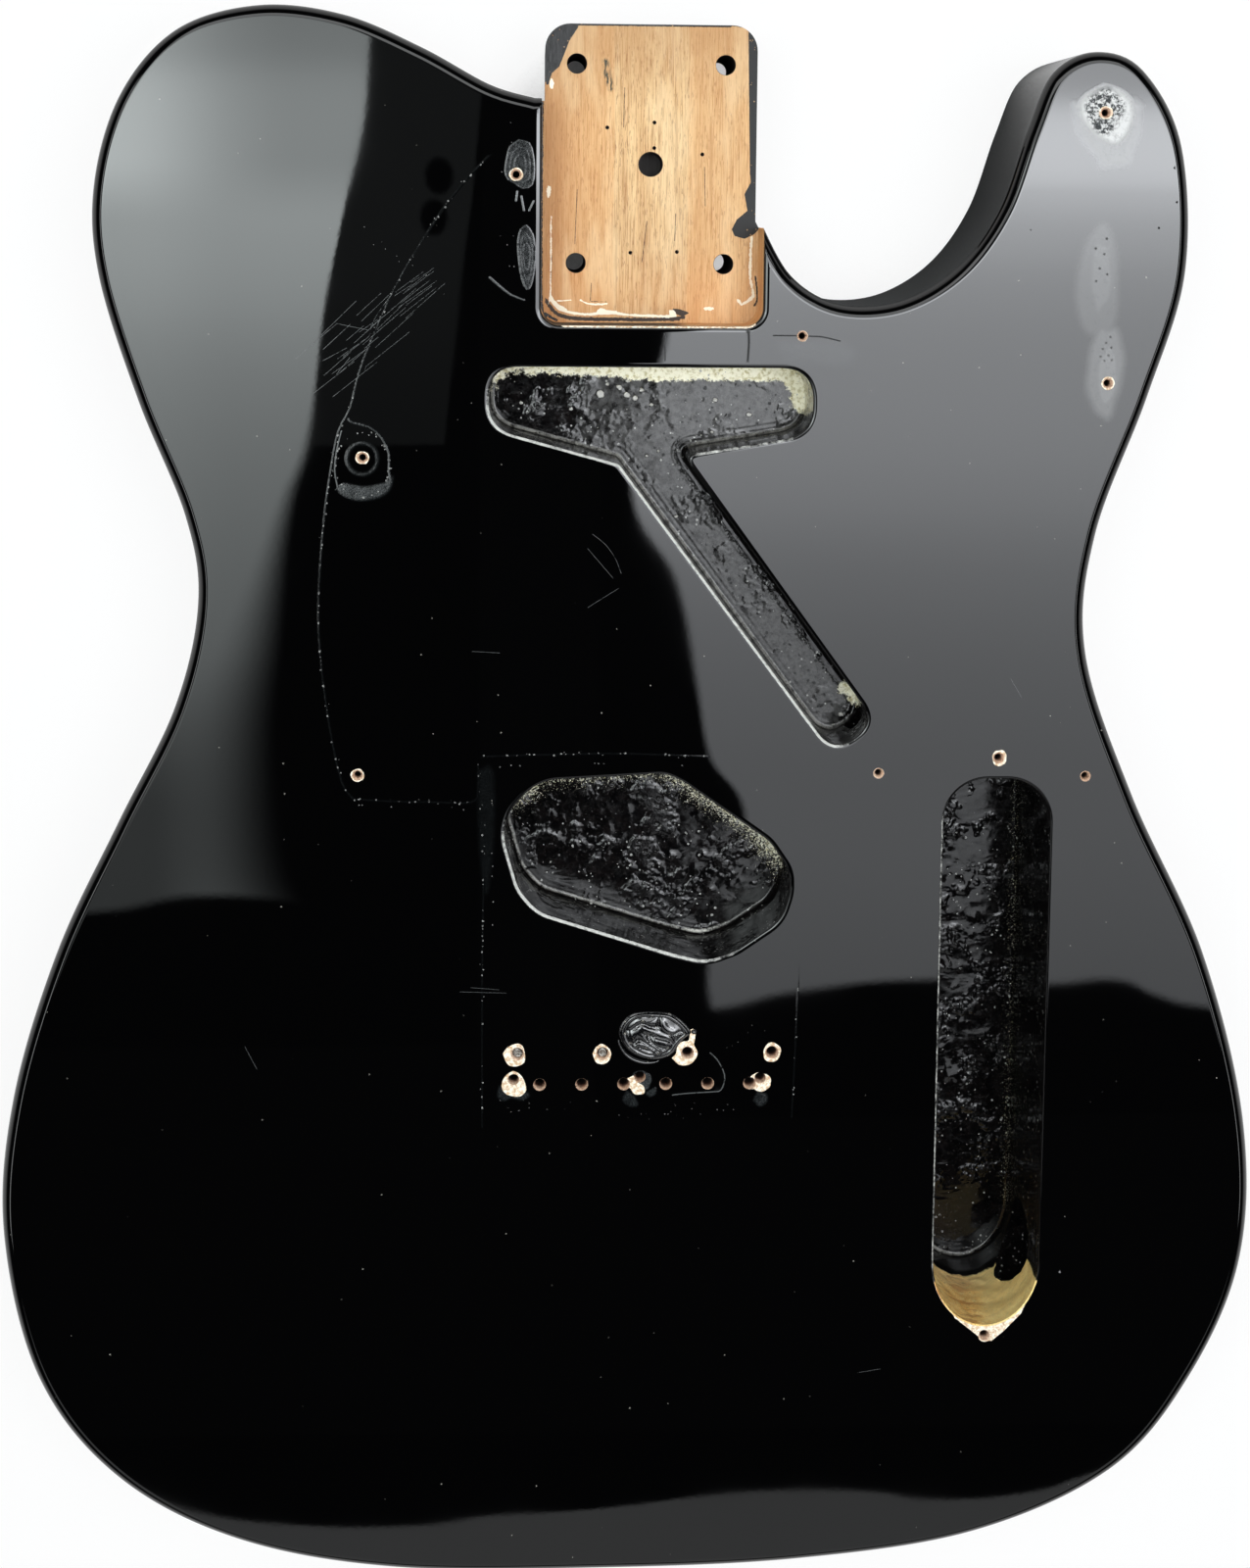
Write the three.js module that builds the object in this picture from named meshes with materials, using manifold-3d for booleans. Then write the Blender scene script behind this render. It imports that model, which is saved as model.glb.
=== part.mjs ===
// Single-cut solid guitar body for a bolt-on neck, stripped of its hardware and lying on its back.
// Millimetres. X runs to the treble side, Y towards the neck and Z out of the face.
// The origin is on the resting plane, under the middle of the body.
import * as THREE from 'three';
import { mergeVertices } from 'three/addons/utils/BufferGeometryUtils.js';
import Module from 'manifold-3d';

const wasm = await Module();
wasm.setup();

// Body blank
const bodyLength = 409;
const bodyWidth = 325.5;
const bodyThickness = 44.45;
const edgeRadius = 3.2;
const edgeSteps = 4;
const outlineSteps = 4;
const neckCentreX = 3;
const cutOverrun = 6;
const weldReach = 0.0001;

// Outline from the bass bout, round the lower bout and the horn to the cutaway
const outlineShares = [
  [-0.117, 0.454], [-0.169, 0.476], [-0.228, 0.495], [-0.292, 0.5], [-0.354, 0.485],
  [-0.397, 0.446], [-0.418, 0.391], [-0.415, 0.335], [-0.386, 0.259], [-0.351, 0.188],
  [-0.342, 0.134], [-0.361, 0.068], [-0.406, -0.005], [-0.455, -0.088], [-0.491, -0.183],
  [-0.5, -0.271], [-0.474, -0.366], [-0.412, -0.433], [-0.317, -0.476], [-0.191, -0.497],
  [-0.025, -0.5], [0.138, -0.496], [0.283, -0.479], [0.395, -0.438], [0.458, -0.376],
  [0.497, -0.296], [0.496, -0.202], [0.458, -0.091], [0.397, 0.011], [0.356, 0.103],
  [0.361, 0.178], [0.399, 0.265], [0.426, 0.342], [0.42, 0.421], [0.388, 0.467],
  [0.351, 0.478], [0.318, 0.465], [0.299, 0.43], [0.278, 0.381], [0.246, 0.345],
  [0.202, 0.324], [0.154, 0.322], [0.117, 0.339],
];
const shoulderShare = 0.446;
const cutawayStartShare = 0.372;

// Heel and the neck pocket in it
const heelWidth = 54.4;
const heelStep = 2.5;
const heelEndShare = 0.494;
const heelCornerRadius = 6.5;
const pocketWidth = 56;
const pocketLength = 76.2;
const pocketDepth = 16;
const pocketCornerRadius = 4.6;

// Neck screw holes, in a rectangle round the middle of the pocket
const neckScrewSpacingX = 38.1;
const neckScrewSpacingY = 50.8;
const neckScrewRadius = 2.5;
const neckScrewSetback = 40.7;
const centreHoleRadius = 3;
const centreHoleDepth = 9;

// Neck pickup rout, its places as shares of its width and length from the middle of its neck side
const neckRoutWidth = 82;
const neckRoutLength = 25.2;
const neckRoutDepth = 17.5;
const neckRoutWall = 10.4;
const neckRoutEndRadius = 8.6;
const neckRoutEndShares = [[0.5, -0.669], [0.5, 0], [-0.5, 0], [-0.5, -0.615]];
const neckRoutMouthShares = [[-0.098, -0.974], [0.099, -0.883]];

// Wiring channel from the mouth of the neck pickup rout towards the controls
const channelWidth = 13.5;
const channelMouthRadius = 2.4;
const channelEndXShare = 0.16;
const channelEndYShare = 0.063;

// Bridge pickup rout, slanted, its places as shares of its width and length round its middle
const bridgeRoutWidth = 74;
const bridgeRoutLength = 49.6;
const bridgeRoutDepth = 20;
const bridgeRoutYShare = -0.033;
const bridgeRoutCornerRadius = 12;
const bridgeRoutShares = [
  [-0.409, 0.419], [-0.48, 0.3], [-0.5, 0.171], [-0.445, -0.113], [-0.377, -0.234],
  [0.096, -0.458], [0.212, -0.5], [0.315, -0.444], [0.47, -0.286], [0.5, -0.135],
  [0.499, -0.016], [0.426, 0.141], [0.126, 0.454], [0.065, 0.5], [-0.345, 0.466],
];

// Control cavity, with round corners at its neck end and an elliptical tail end
const controlWidth = 28;
const controlLength = 147.1;
const controlDepth = 38;
const controlXShare = 0.287;
const controlTopYShare = 0.024;
const controlCornerRadius = 11.5;
const controlTailLength = 17.6;
const plateScrewMargin = 5.4;
const plateScrewTailMargin = 2.8;

// Jack bore through the treble side at half the thickness
const jackRadius = 10.5;
const jackSetback = 12.9;

// Wire drillings hidden between the cavities
const wireBoreRadius = 4;
const wireBoreDepth = 12;
const wireBoreDrop = 5;

// String holes through the body, with ferrules pressed into the back
const stringCount = 6;
const stringSpacing = 10.9;
const stringHoleRadius = 1.6;
const stringRowYShare = -0.173;
const ferruleRadius = 4;
const ferruleLength = 9;
const ferruleBallRadius = 2.6;
const ferruleBallDepth = 6;
const ferruleStringRadius = 1.7;
const ferruleChamfer = 0.5;
const ferruleSink = 0.4;
const fitClearance = 0.3;

// Screw pilot holes in the face
const pilotRadius = 1.25;
const pilotDepth = 14;
const guardScrewShares = [
  [-0.0962, 0.3995], [-0.2138, 0.2257], [-0.2181, 0.0269], [0.1257, 0.3022],
  [0.3579, 0.4406], [0.3656, 0.2741], [0.1917, 0.0276], [0.3567, 0.0254],
];
const bridgeScrewRadius = 1.3;
const bridgeScrewDepth = 20;
const bridgeRowSpacing = 22;
const bridgeRowCount = 4;
const bridgeRowGap = 8.2;
const tornHoleSpacing = 32.5;
const tornHoleCount = 3;
const tornHoleGap = 1.4;
const tornMouthRadius = 2.4;
const tornMouthDepth = 2.2;

// Broken screws left in the first two holes of the bridge row
const stubCount = 2;
const stubSink = 1.2;
const stubPointLength = 4;

// Lump of filler on the face, its outline as shares of its width and length
const fillerWidth = 20.6;
const fillerLength = 14.1;
const fillerHeight = 1.1;
const fillerXShare = 0.0184;
const fillerYShare = -0.143;
const fillerBevel = 1.6;
const fillerOutlineShares = [
  [-0.5, 0.02], [-0.33, -0.36], [0, -0.5], [0.3, -0.4],
  [0.5, -0.02], [0.4, 0.3], [0.02, 0.5], [-0.36, 0.34],
];

// Strap button pilot holes in the rim
const strapHoleRadius = 1.5;
const strapHoleDepth = 22;
const strapBoutShare = [-0.354, 0.485];
const strapBoutTurn = 0.18 * Math.PI;

// Planks, glued edge to edge along the grain
const plankWidth = 79;
const plankSeamX = 12.7;

// Facets
const smallSides = 12;
const mediumSides = 20;
const jackSides = 32;

const halfThickness = bodyThickness / 2;
const heelEndY = heelEndShare * bodyLength;
const pocketEndY = heelEndY - pocketLength;
const stringRowY = stringRowYShare * bodyLength;
const neckRoutY = pocketEndY - neckRoutWall;
const controlX = controlXShare * bodyWidth;
const controlTopY = controlTopYShare * bodyLength;
const controlEndY = controlTopY - controlLength;
const bridgeRoutY = bridgeRoutYShare * bodyLength;
const channelEnd = new THREE.Vector2(channelEndXShare * bodyWidth, channelEndYShare * bodyLength);

// Booleans
function solid(geometry) {
  const bare = geometry.index ? geometry.toNonIndexed() : geometry.clone();
  bare.deleteAttribute('normal');
  bare.deleteAttribute('uv');
  const merged = mergeVertices(bare, weldReach);
  return new wasm.Manifold(new wasm.Mesh({
    numProp: 3,
    vertProperties: new Float32Array(merged.attributes.position.array),
    triVerts: new Uint32Array(merged.index.array),
  }));
}

function geometryOf(manifold) {
  const mesh = manifold.getMesh();
  const geometry = new THREE.BufferGeometry();
  geometry.setAttribute('position', new THREE.BufferAttribute(mesh.vertProperties, 3));
  geometry.setIndex(new THREE.BufferAttribute(mesh.triVerts, 1));
  geometry.computeVertexNormals();
  return geometry;
}

// Outlines
function scaled(shares, width, length, x, y) {
  return shares.map(([across, along]) => new THREE.Vector2(x + across * width, y + along * length));
}

function roundedShape(corners, radii) {
  const shape = new THREE.Shape();
  corners.forEach((corner, i) => {
    const radius = radii[i] ?? radii[0];
    const back = corners.at(i - 1).clone().sub(corner);
    const ahead = corners[(i + 1) % corners.length].clone().sub(corner);
    const half = back.angleTo(ahead) / 2;
    const reach = Math.min(radius / Math.tan(half), back.length() / 2, ahead.length() / 2);
    const start = corner.clone().add(back.setLength(reach));
    const end = corner.clone().add(ahead.setLength(reach));
    if (i === 0) {
      shape.moveTo(start.x, start.y);
    } else {
      shape.lineTo(start.x, start.y);
    }
    shape.quadraticCurveTo(corner.x, corner.y, end.x, end.y);
  });
  shape.closePath();
  return shape;
}

function bodyShape() {
  const heelLeft = neckCentreX - heelWidth / 2;
  const heelRight = neckCentreX + heelWidth / 2;
  const r = heelCornerRadius;
  const points = [
    new THREE.Vector2(heelLeft - heelStep, shoulderShare * bodyLength),
    ...scaled(outlineShares, bodyWidth, bodyLength, 0, 0),
    new THREE.Vector2(heelRight, cutawayStartShare * bodyLength),
  ];
  const shape = new THREE.Shape();
  shape.moveTo(points[0].x, points[0].y);
  shape.splineThru(points.slice(1));
  shape.lineTo(heelRight, heelEndY - r);
  shape.absarc(heelRight - r, heelEndY - r, r, 0, Math.PI / 2);
  shape.lineTo(heelLeft + r, heelEndY);
  shape.absarc(heelLeft + r, heelEndY - r, r, Math.PI / 2, Math.PI);
  shape.lineTo(heelLeft, points[0].y);
  return shape;
}

// Cuts
function pit(shape, depth) {
  const geometry = new THREE.ExtrudeGeometry(shape, {
    depth: depth + cutOverrun,
    bevelEnabled: false,
    curveSegments: outlineSteps,
  });
  return solid(geometry.translate(0, 0, bodyThickness - depth));
}

function drill(from, to, radius, sides, endRadius = radius) {
  const span = to.clone().sub(from);
  const geometry = new THREE.CylinderGeometry(endRadius, radius, span.length(), sides);
  const turn = new THREE.Quaternion().setFromUnitVectors(
    new THREE.Vector3(0, 1, 0),
    span.clone().normalize(),
  );
  geometry.applyQuaternion(turn);
  const middle = from.clone().add(to).divideScalar(2);
  return solid(geometry.translate(middle.x, middle.y, middle.z));
}

function faceHole(x, y, radius, depth, sides = smallSides) {
  return drill(
    new THREE.Vector3(x, y, bodyThickness - depth),
    new THREE.Vector3(x, y, bodyThickness + cutOverrun),
    radius,
    sides,
  );
}

function row(count, spacing) {
  return Array.from({ length: count }, (_, i) => neckCentreX + (i - (count - 1) / 2) * spacing);
}

function pocketCut() {
  const left = neckCentreX - pocketWidth / 2;
  const right = neckCentreX + pocketWidth / 2;
  const r = pocketCornerRadius;
  const shape = new THREE.Shape();
  shape.moveTo(left, heelEndY + cutOverrun);
  shape.lineTo(left, pocketEndY + r);
  shape.absarc(left + r, pocketEndY + r, r, Math.PI, Math.PI * 1.5);
  shape.lineTo(right - r, pocketEndY);
  shape.absarc(right - r, pocketEndY + r, r, Math.PI * 1.5, Math.PI * 2);
  shape.lineTo(right, heelEndY + cutOverrun);
  return pit(shape, pocketDepth);
}

function neckScrewCuts() {
  const middleY = pocketEndY + neckScrewSetback;
  const floor = bodyThickness - pocketDepth;
  const cuts = [faceHole(neckCentreX, middleY, centreHoleRadius, pocketDepth + centreHoleDepth)];
  for (const side of [-1, 1]) {
    for (const end of [-1, 1]) {
      const x = neckCentreX + side * neckScrewSpacingX / 2;
      const y = middleY + end * neckScrewSpacingY / 2;
      cuts.push(drill(
        new THREE.Vector3(x, y, -cutOverrun),
        new THREE.Vector3(x, y, floor + cutOverrun),
        neckScrewRadius,
        mediumSides,
      ));
    }
  }
  return cuts;
}

// The rout and its wiring channel are one T-shaped recess
function neckRoutCut() {
  const place = (shares) => scaled(shares, neckRoutWidth, neckRoutLength, neckCentreX, neckRoutY);
  const ends = place(neckRoutEndShares);
  const mouth = place(neckRoutMouthShares);
  const middle = mouth[0].clone().add(mouth[1]).divideScalar(2);
  const along = channelEnd.clone().sub(middle).setLength(channelWidth / 2);
  const across = new THREE.Vector2(-along.y, along.x);
  const tip = channelEnd.clone().add(along);
  const channel = [tip.clone().sub(across), tip.clone().add(across)];
  return pit(roundedShape(
    [...ends, mouth[0], ...channel, mouth[1]],
    [
      ...ends.map(() => neckRoutEndRadius),
      channelMouthRadius, channelWidth / 2, channelWidth / 2, channelMouthRadius,
    ],
  ), neckRoutDepth);
}

function bridgeRoutCut() {
  const corners = scaled(bridgeRoutShares, bridgeRoutWidth, bridgeRoutLength, neckCentreX, bridgeRoutY);
  return pit(roundedShape(corners, [bridgeRoutCornerRadius]), bridgeRoutDepth);
}

function controlCut() {
  const left = controlX - controlWidth / 2;
  const right = controlX + controlWidth / 2;
  const r = controlCornerRadius;
  const tailY = controlEndY + controlTailLength;
  const shape = new THREE.Shape();
  shape.moveTo(right, tailY);
  shape.absarc(right - r, controlTopY - r, r, 0, Math.PI / 2);
  shape.absarc(left + r, controlTopY - r, r, Math.PI / 2, Math.PI);
  shape.absellipse(controlX, tailY, controlWidth / 2, controlTailLength, Math.PI, Math.PI * 2);
  return pit(shape, controlDepth);
}

function jackCut() {
  const y = controlEndY + jackSetback;
  return drill(
    new THREE.Vector3(controlX + jackRadius / 2, y, halfThickness),
    new THREE.Vector3(bodyWidth / 2 + cutOverrun, y, halfThickness),
    jackRadius,
    jackSides,
  );
}

function wireCuts() {
  const z = bodyThickness - wireBoreDepth;
  const cavityTop = new THREE.Vector3(controlX, controlTopY - controlCornerRadius, z - wireBoreDrop);
  const cavitySide = new THREE.Vector3(controlX, bridgeRoutY - wireBoreRadius, z - wireBoreDrop);
  return [
    drill(new THREE.Vector3(channelEnd.x, channelEnd.y, z), cavityTop, wireBoreRadius, smallSides),
    drill(
      new THREE.Vector3(neckCentreX + bridgeRoutWidth / 4, bridgeRoutY, z),
      cavitySide,
      wireBoreRadius,
      smallSides,
    ),
  ];
}

function stringCuts() {
  const seat = ferruleSink + ferruleLength;
  return row(stringCount, stringSpacing).flatMap((x) => [
    drill(
      new THREE.Vector3(x, stringRowY, -cutOverrun),
      new THREE.Vector3(x, stringRowY, bodyThickness + cutOverrun),
      stringHoleRadius,
      smallSides,
    ),
    drill(
      new THREE.Vector3(x, stringRowY, -cutOverrun),
      new THREE.Vector3(x, stringRowY, seat),
      ferruleRadius + fitClearance,
      mediumSides,
    ),
  ]);
}

function screwCuts() {
  const guard = scaled(guardScrewShares, bodyWidth, bodyLength, 0, 0);
  const bridgeRow = row(bridgeRowCount, bridgeRowSpacing);
  const torn = row(tornHoleCount, tornHoleSpacing);
  const tornY = stringRowY + tornHoleGap;
  return [
    ...guard.map((p) => faceHole(p.x, p.y, pilotRadius, pilotDepth)),
    faceHole(controlX, controlTopY + plateScrewMargin, pilotRadius, pilotDepth),
    faceHole(controlX, controlEndY - plateScrewTailMargin, pilotRadius, pilotDepth),
    ...bridgeRow.map((x) => faceHole(x, stringRowY + bridgeRowGap, bridgeScrewRadius, bridgeScrewDepth)),
    ...torn.map((x) => faceHole(x, tornY, bridgeScrewRadius, bridgeScrewDepth)),
    ...torn.map((x) => drill(
      new THREE.Vector3(x, tornY, bodyThickness - tornMouthDepth),
      new THREE.Vector3(x, tornY, bodyThickness),
      bridgeScrewRadius,
      smallSides,
      tornMouthRadius,
    )),
  ];
}

function strapCuts() {
  const inward = new THREE.Vector3(Math.sin(strapBoutTurn), -Math.cos(strapBoutTurn), 0);
  const bout = new THREE.Vector3(
    strapBoutShare[0] * bodyWidth,
    strapBoutShare[1] * bodyLength,
    halfThickness,
  );
  return [
    drill(
      new THREE.Vector3(neckCentreX, -bodyLength / 2 - cutOverrun, halfThickness),
      new THREE.Vector3(neckCentreX, -bodyLength / 2 + strapHoleDepth, halfThickness),
      strapHoleRadius,
      smallSides,
    ),
    drill(
      bout.clone().addScaledVector(inward, -cutOverrun),
      bout.clone().addScaledVector(inward, strapHoleDepth),
      strapHoleRadius,
      smallSides,
    ),
  ];
}

// Whole blank, shaped, rounded over and routed, before it is parted at the glue lines
function routedBlank() {
  const blank = new THREE.ExtrudeGeometry(bodyShape(), {
    depth: bodyThickness - 2 * edgeRadius,
    bevelThickness: edgeRadius,
    bevelSize: edgeRadius,
    bevelOffset: -edgeRadius,
    bevelSegments: edgeSteps,
    curveSegments: outlineSteps,
  });
  const cuts = [
    pocketCut(),
    ...neckScrewCuts(),
    neckRoutCut(),
    bridgeRoutCut(),
    controlCut(),
    jackCut(),
    ...wireCuts(),
    ...stringCuts(),
    ...screwCuts(),
    ...strapCuts(),
  ];
  return cuts.reduce((body, cut) => body.subtract(cut), solid(blank.translate(0, 0, edgeRadius)));
}

// Part of the blank between two glue lines
function plankPart(blank, fromX, toX) {
  const box = new THREE.BoxGeometry(toX - fromX, bodyLength + cutOverrun, bodyThickness + cutOverrun);
  box.translate((fromX + toX) / 2, 0, halfThickness);
  return blank.intersect(solid(box));
}

function ferruleGeometry() {
  const r = ferruleRadius;
  const c = ferruleChamfer;
  const profile = [
    [ferruleBallRadius, 0],
    [r - c, 0],
    [r, c],
    [r, ferruleLength - c],
    [r - c, ferruleLength],
    [ferruleStringRadius, ferruleLength],
    [ferruleStringRadius, ferruleBallDepth],
    [ferruleBallRadius, ferruleBallDepth],
    [ferruleBallRadius, 0],
  ];
  const ring = new THREE.LatheGeometry(profile.map(([x, y]) => new THREE.Vector2(x, y)), mediumSides);
  return geometryOf(solid(ring.rotateX(Math.PI / 2)));
}

function stubGeometry() {
  const r = bridgeScrewRadius - fitClearance;
  const length = bridgeScrewDepth - stubSink - fitClearance;
  const profile = [[0, 0], [r, stubPointLength], [r, length], [0, length]];
  const shank = new THREE.LatheGeometry(profile.map(([x, y]) => new THREE.Vector2(x, y)), smallSides);
  return geometryOf(solid(shank.rotateX(Math.PI / 2)));
}

function fillerGeometry() {
  const points = scaled(fillerOutlineShares, fillerWidth, fillerLength, 0, 0);
  const shape = new THREE.Shape();
  shape.moveTo(points[0].x, points[0].y);
  shape.splineThru([...points.slice(1), points[0]]);
  const lump = new THREE.ExtrudeGeometry(shape, {
    depth: fillerHeight,
    bevelThickness: fillerHeight,
    bevelSize: fillerBevel,
    bevelOffset: -fillerBevel,
    bevelSegments: edgeSteps,
    curveSegments: outlineSteps,
  });
  const upper = new THREE.BoxGeometry(fillerWidth + cutOverrun, fillerLength + cutOverrun, fillerHeight);
  const lumpTop = solid(lump.translate(0, 0, -fillerHeight));
  return geometryOf(lumpTop.intersect(solid(upper.translate(0, 0, fillerHeight / 2))));
}

// Finishes
const lacquer = { color: 0x0b0b0d, roughness: 0.18, metalness: 0 };
const nickel = { color: 0xb9b6ae, roughness: 0.3, metalness: 1 };
const steel = { color: 0x6f6d69, roughness: 0.5, metalness: 1 };
const filler = { color: 0x101011, roughness: 0.35, metalness: 0 };

const group = new THREE.Group();

function addMesh(name, geometry, finish, x = 0, y = 0, z = 0) {
  const mesh = new THREE.Mesh(geometry, new THREE.MeshStandardMaterial(finish));
  mesh.name = name;
  mesh.position.set(x, y, z);
  group.add(mesh);
}

const blank = routedBlank();
const rimX = bodyWidth / 2 + cutOverrun;
const planks = [
  ['bass_outer_plank', -rimX, plankSeamX - plankWidth],
  ['bass_inner_plank', plankSeamX - plankWidth, plankSeamX],
  ['treble_inner_plank', plankSeamX, plankSeamX + plankWidth],
  ['treble_outer_plank', plankSeamX + plankWidth, rimX],
];
for (const [name, fromX, toX] of planks) {
  addMesh(name, geometryOf(plankPart(blank, fromX, toX)), lacquer);
}

row(stringCount, stringSpacing).forEach((x, i) => {
  addMesh(`string_ferrule_${i + 1}`, ferruleGeometry(), nickel, x, stringRowY, ferruleSink);
});

row(bridgeRowCount, bridgeRowSpacing).slice(0, stubCount).forEach((x, i) => {
  const bottom = bodyThickness - bridgeScrewDepth + fitClearance;
  addMesh(`broken_bridge_screw_${i + 1}`, stubGeometry(), steel, x, stringRowY + bridgeRowGap, bottom);
});

addMesh(
  'filler_lump',
  fillerGeometry(),
  filler,
  fillerXShare * bodyWidth,
  fillerYShare * bodyLength,
  bodyThickness,
);

export default group;
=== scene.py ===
import math

import bpy
import numpy as np
from mathutils import Matrix, Vector, noise
from mathutils.geometry import delaunay_2d_cdt


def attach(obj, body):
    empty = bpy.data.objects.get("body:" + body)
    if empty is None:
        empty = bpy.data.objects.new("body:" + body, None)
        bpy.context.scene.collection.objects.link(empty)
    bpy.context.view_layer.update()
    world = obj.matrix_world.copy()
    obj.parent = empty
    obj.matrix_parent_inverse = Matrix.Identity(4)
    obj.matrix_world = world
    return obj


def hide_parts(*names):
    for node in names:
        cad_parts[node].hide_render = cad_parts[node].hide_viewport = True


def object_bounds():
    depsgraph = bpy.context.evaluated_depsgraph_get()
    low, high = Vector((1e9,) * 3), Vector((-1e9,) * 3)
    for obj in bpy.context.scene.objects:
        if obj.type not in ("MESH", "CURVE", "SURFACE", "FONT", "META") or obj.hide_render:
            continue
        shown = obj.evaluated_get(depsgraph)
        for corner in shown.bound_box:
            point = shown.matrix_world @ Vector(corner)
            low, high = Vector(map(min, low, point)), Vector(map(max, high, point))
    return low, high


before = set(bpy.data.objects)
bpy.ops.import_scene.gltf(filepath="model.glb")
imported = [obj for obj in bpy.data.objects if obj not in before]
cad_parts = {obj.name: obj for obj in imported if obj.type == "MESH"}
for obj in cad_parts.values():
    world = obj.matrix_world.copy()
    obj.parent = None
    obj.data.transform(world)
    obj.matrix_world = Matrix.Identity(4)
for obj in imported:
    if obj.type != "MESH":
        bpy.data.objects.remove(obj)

cad_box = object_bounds()
MM = 0.001
noise.seed_set(7)  # noise_vector starts from the clock without it
CLEAR = 0.12  # how near to an edge no vertex of a mark is put
SEAM = 0.02  # how far round a level its vertices are looked for

# Sizes, as in the CAD source, in millimetres
LENGTH, WIDTH, T = 409.0, 325.5, 44.45
EDGE_R = 3.2
NECK_X = 3.0
OUTLINE = [
    (-0.117, 0.454), (-0.169, 0.476), (-0.228, 0.495), (-0.292, 0.5), (-0.354, 0.485),
    (-0.397, 0.446), (-0.418, 0.391), (-0.415, 0.335), (-0.386, 0.259), (-0.351, 0.188),
    (-0.342, 0.134), (-0.361, 0.068), (-0.406, -0.005), (-0.455, -0.088), (-0.491, -0.183),
    (-0.5, -0.271), (-0.474, -0.366), (-0.412, -0.433), (-0.317, -0.476), (-0.191, -0.497),
    (-0.025, -0.5), (0.138, -0.496), (0.283, -0.479), (0.395, -0.438), (0.458, -0.376),
    (0.497, -0.296), (0.496, -0.202), (0.458, -0.091), (0.397, 0.011), (0.356, 0.103),
    (0.361, 0.178), (0.399, 0.265), (0.426, 0.342), (0.42, 0.421), (0.388, 0.467),
    (0.351, 0.478), (0.318, 0.465), (0.299, 0.43), (0.278, 0.381), (0.246, 0.345),
    (0.202, 0.324), (0.154, 0.322), (0.117, 0.339),
]
HEEL_LEFT, HEEL_RIGHT, HEEL_Y, HEEL_R = -24.2, 30.2, 202.05, 6.5
SHOULDER_Y, HEEL_STEP, CUTAWAY_Y = 0.446 * LENGTH, 2.5, 0.372 * LENGTH
POCKET_Y, POCKET_W, POCKET_D, POCKET_R = 125.85, 56.0, 16.0, 4.6
POCKET_Z = T - POCKET_D
ABOVE, BELOW = T + 4, -5  # where the cutters of the holes end, clear of the body
SCREW_X, SCREW_Y, SCREW_MID = 38.1, 50.8, 166.55
NECK_ROUT_Y, NECK_ROUT_W, NECK_ROUT_L, NECK_ROUT_D = 115.45, 82.0, 25.2, 17.5
NECK_ROUT_END_R, MOUTH_R = 8.6, 2.4
NECK_ENDS = [(0.5, -0.669), (0.5, 0), (-0.5, 0), (-0.5, -0.615)]
NECK_MOUTH = [(-0.098, -0.974), (0.099, -0.883)]
CHANNEL_W, CHANNEL_END = 13.5, np.array((0.16 * WIDTH, 0.063 * LENGTH))
BRIDGE_ROUT_Y, BRIDGE_ROUT_W, BRIDGE_ROUT_L, BRIDGE_ROUT_D = -0.033 * LENGTH, 74.0, 49.6, 20.0
BRIDGE_ROUT = [
    (-0.409, 0.419), (-0.48, 0.3), (-0.5, 0.171), (-0.445, -0.113), (-0.377, -0.234),
    (0.096, -0.458), (0.212, -0.5), (0.315, -0.444), (0.47, -0.286), (0.5, -0.135),
    (0.499, -0.016), (0.426, 0.141), (0.126, 0.454), (0.065, 0.5), (-0.345, 0.466),
]
BRIDGE_ROUT_R = 12
CONTROL_X, CONTROL_W, CONTROL_D = 0.287 * WIDTH, 28.0, 38.0
CONTROL_TOP = 0.024 * LENGTH
CONTROL_END = CONTROL_TOP - 147.1
CONTROL_R, CONTROL_TAIL = 11.5, 17.6
JACK_R, JACK_Y = 10.5, CONTROL_END + 12.9
STRING_Y, STRING_GAP, STRING_R = -0.173 * LENGTH, 10.9, 1.6
FERRULE_R, FERRULE_L, FERRULE_SINK, FIT = 4.0, 9.0, 0.4, 0.3
ROW_Y, ROW_GAP, ROW_R, ROW_D = STRING_Y + 8.2, 22.0, 1.3, 20.0
TORN_Y = STRING_Y + 1.4
GUARD = [(a * WIDTH, b * LENGTH) for a, b in (
    (-0.0962, 0.3995), (-0.2138, 0.2257), (-0.2181, 0.0269), (0.1257, 0.3022),
    (0.3579, 0.4406), (0.3656, 0.2741), (0.1917, 0.0276), (0.3567, 0.0254))]
PLATE = [(CONTROL_X, CONTROL_TOP + 5.4), (CONTROL_X, CONTROL_END - 2.8)]
STRINGS = [NECK_X + (i - 2.5) * STRING_GAP for i in range(6)]
ROW = [NECK_X + (i - 1.5) * ROW_GAP for i in range(4)]
TORN_HOLES = [(-31.0, TORN_Y), (1.7, TORN_Y + 0.5), (33.0, TORN_Y)]

# Outlines


def spline(points, gap=1.6):
    """Open Catmull-Rom curve through the points, at about one point each gap."""
    points = [np.array(p, float) for p in points]
    last = len(points) - 1
    out = []
    for i in range(last):
        p0, p1, p2, p3 = points[max(i - 1, 0)], points[i], points[i + 1], points[min(i + 2, last)]
        steps = max(2, round(np.linalg.norm(p2 - p1) / gap))
        v0, v1 = (p2 - p0) / 2, (p3 - p1) / 2
        cubic, square = 2 * p1 - 2 * p2 + v0 + v1, 3 * p2 - 3 * p1 - 2 * v0 - v1
        out += [cubic * t**3 + square * t**2 + v0 * t + p1 for t in np.arange(steps) / steps]
    out.append(points[-1])
    return out


def arc(x, y, rx, ry, start, end, steps):
    return [(x + rx * math.cos(a), y + ry * math.sin(a)) for a in np.radians(np.linspace(start, end, steps + 1))]


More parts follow.
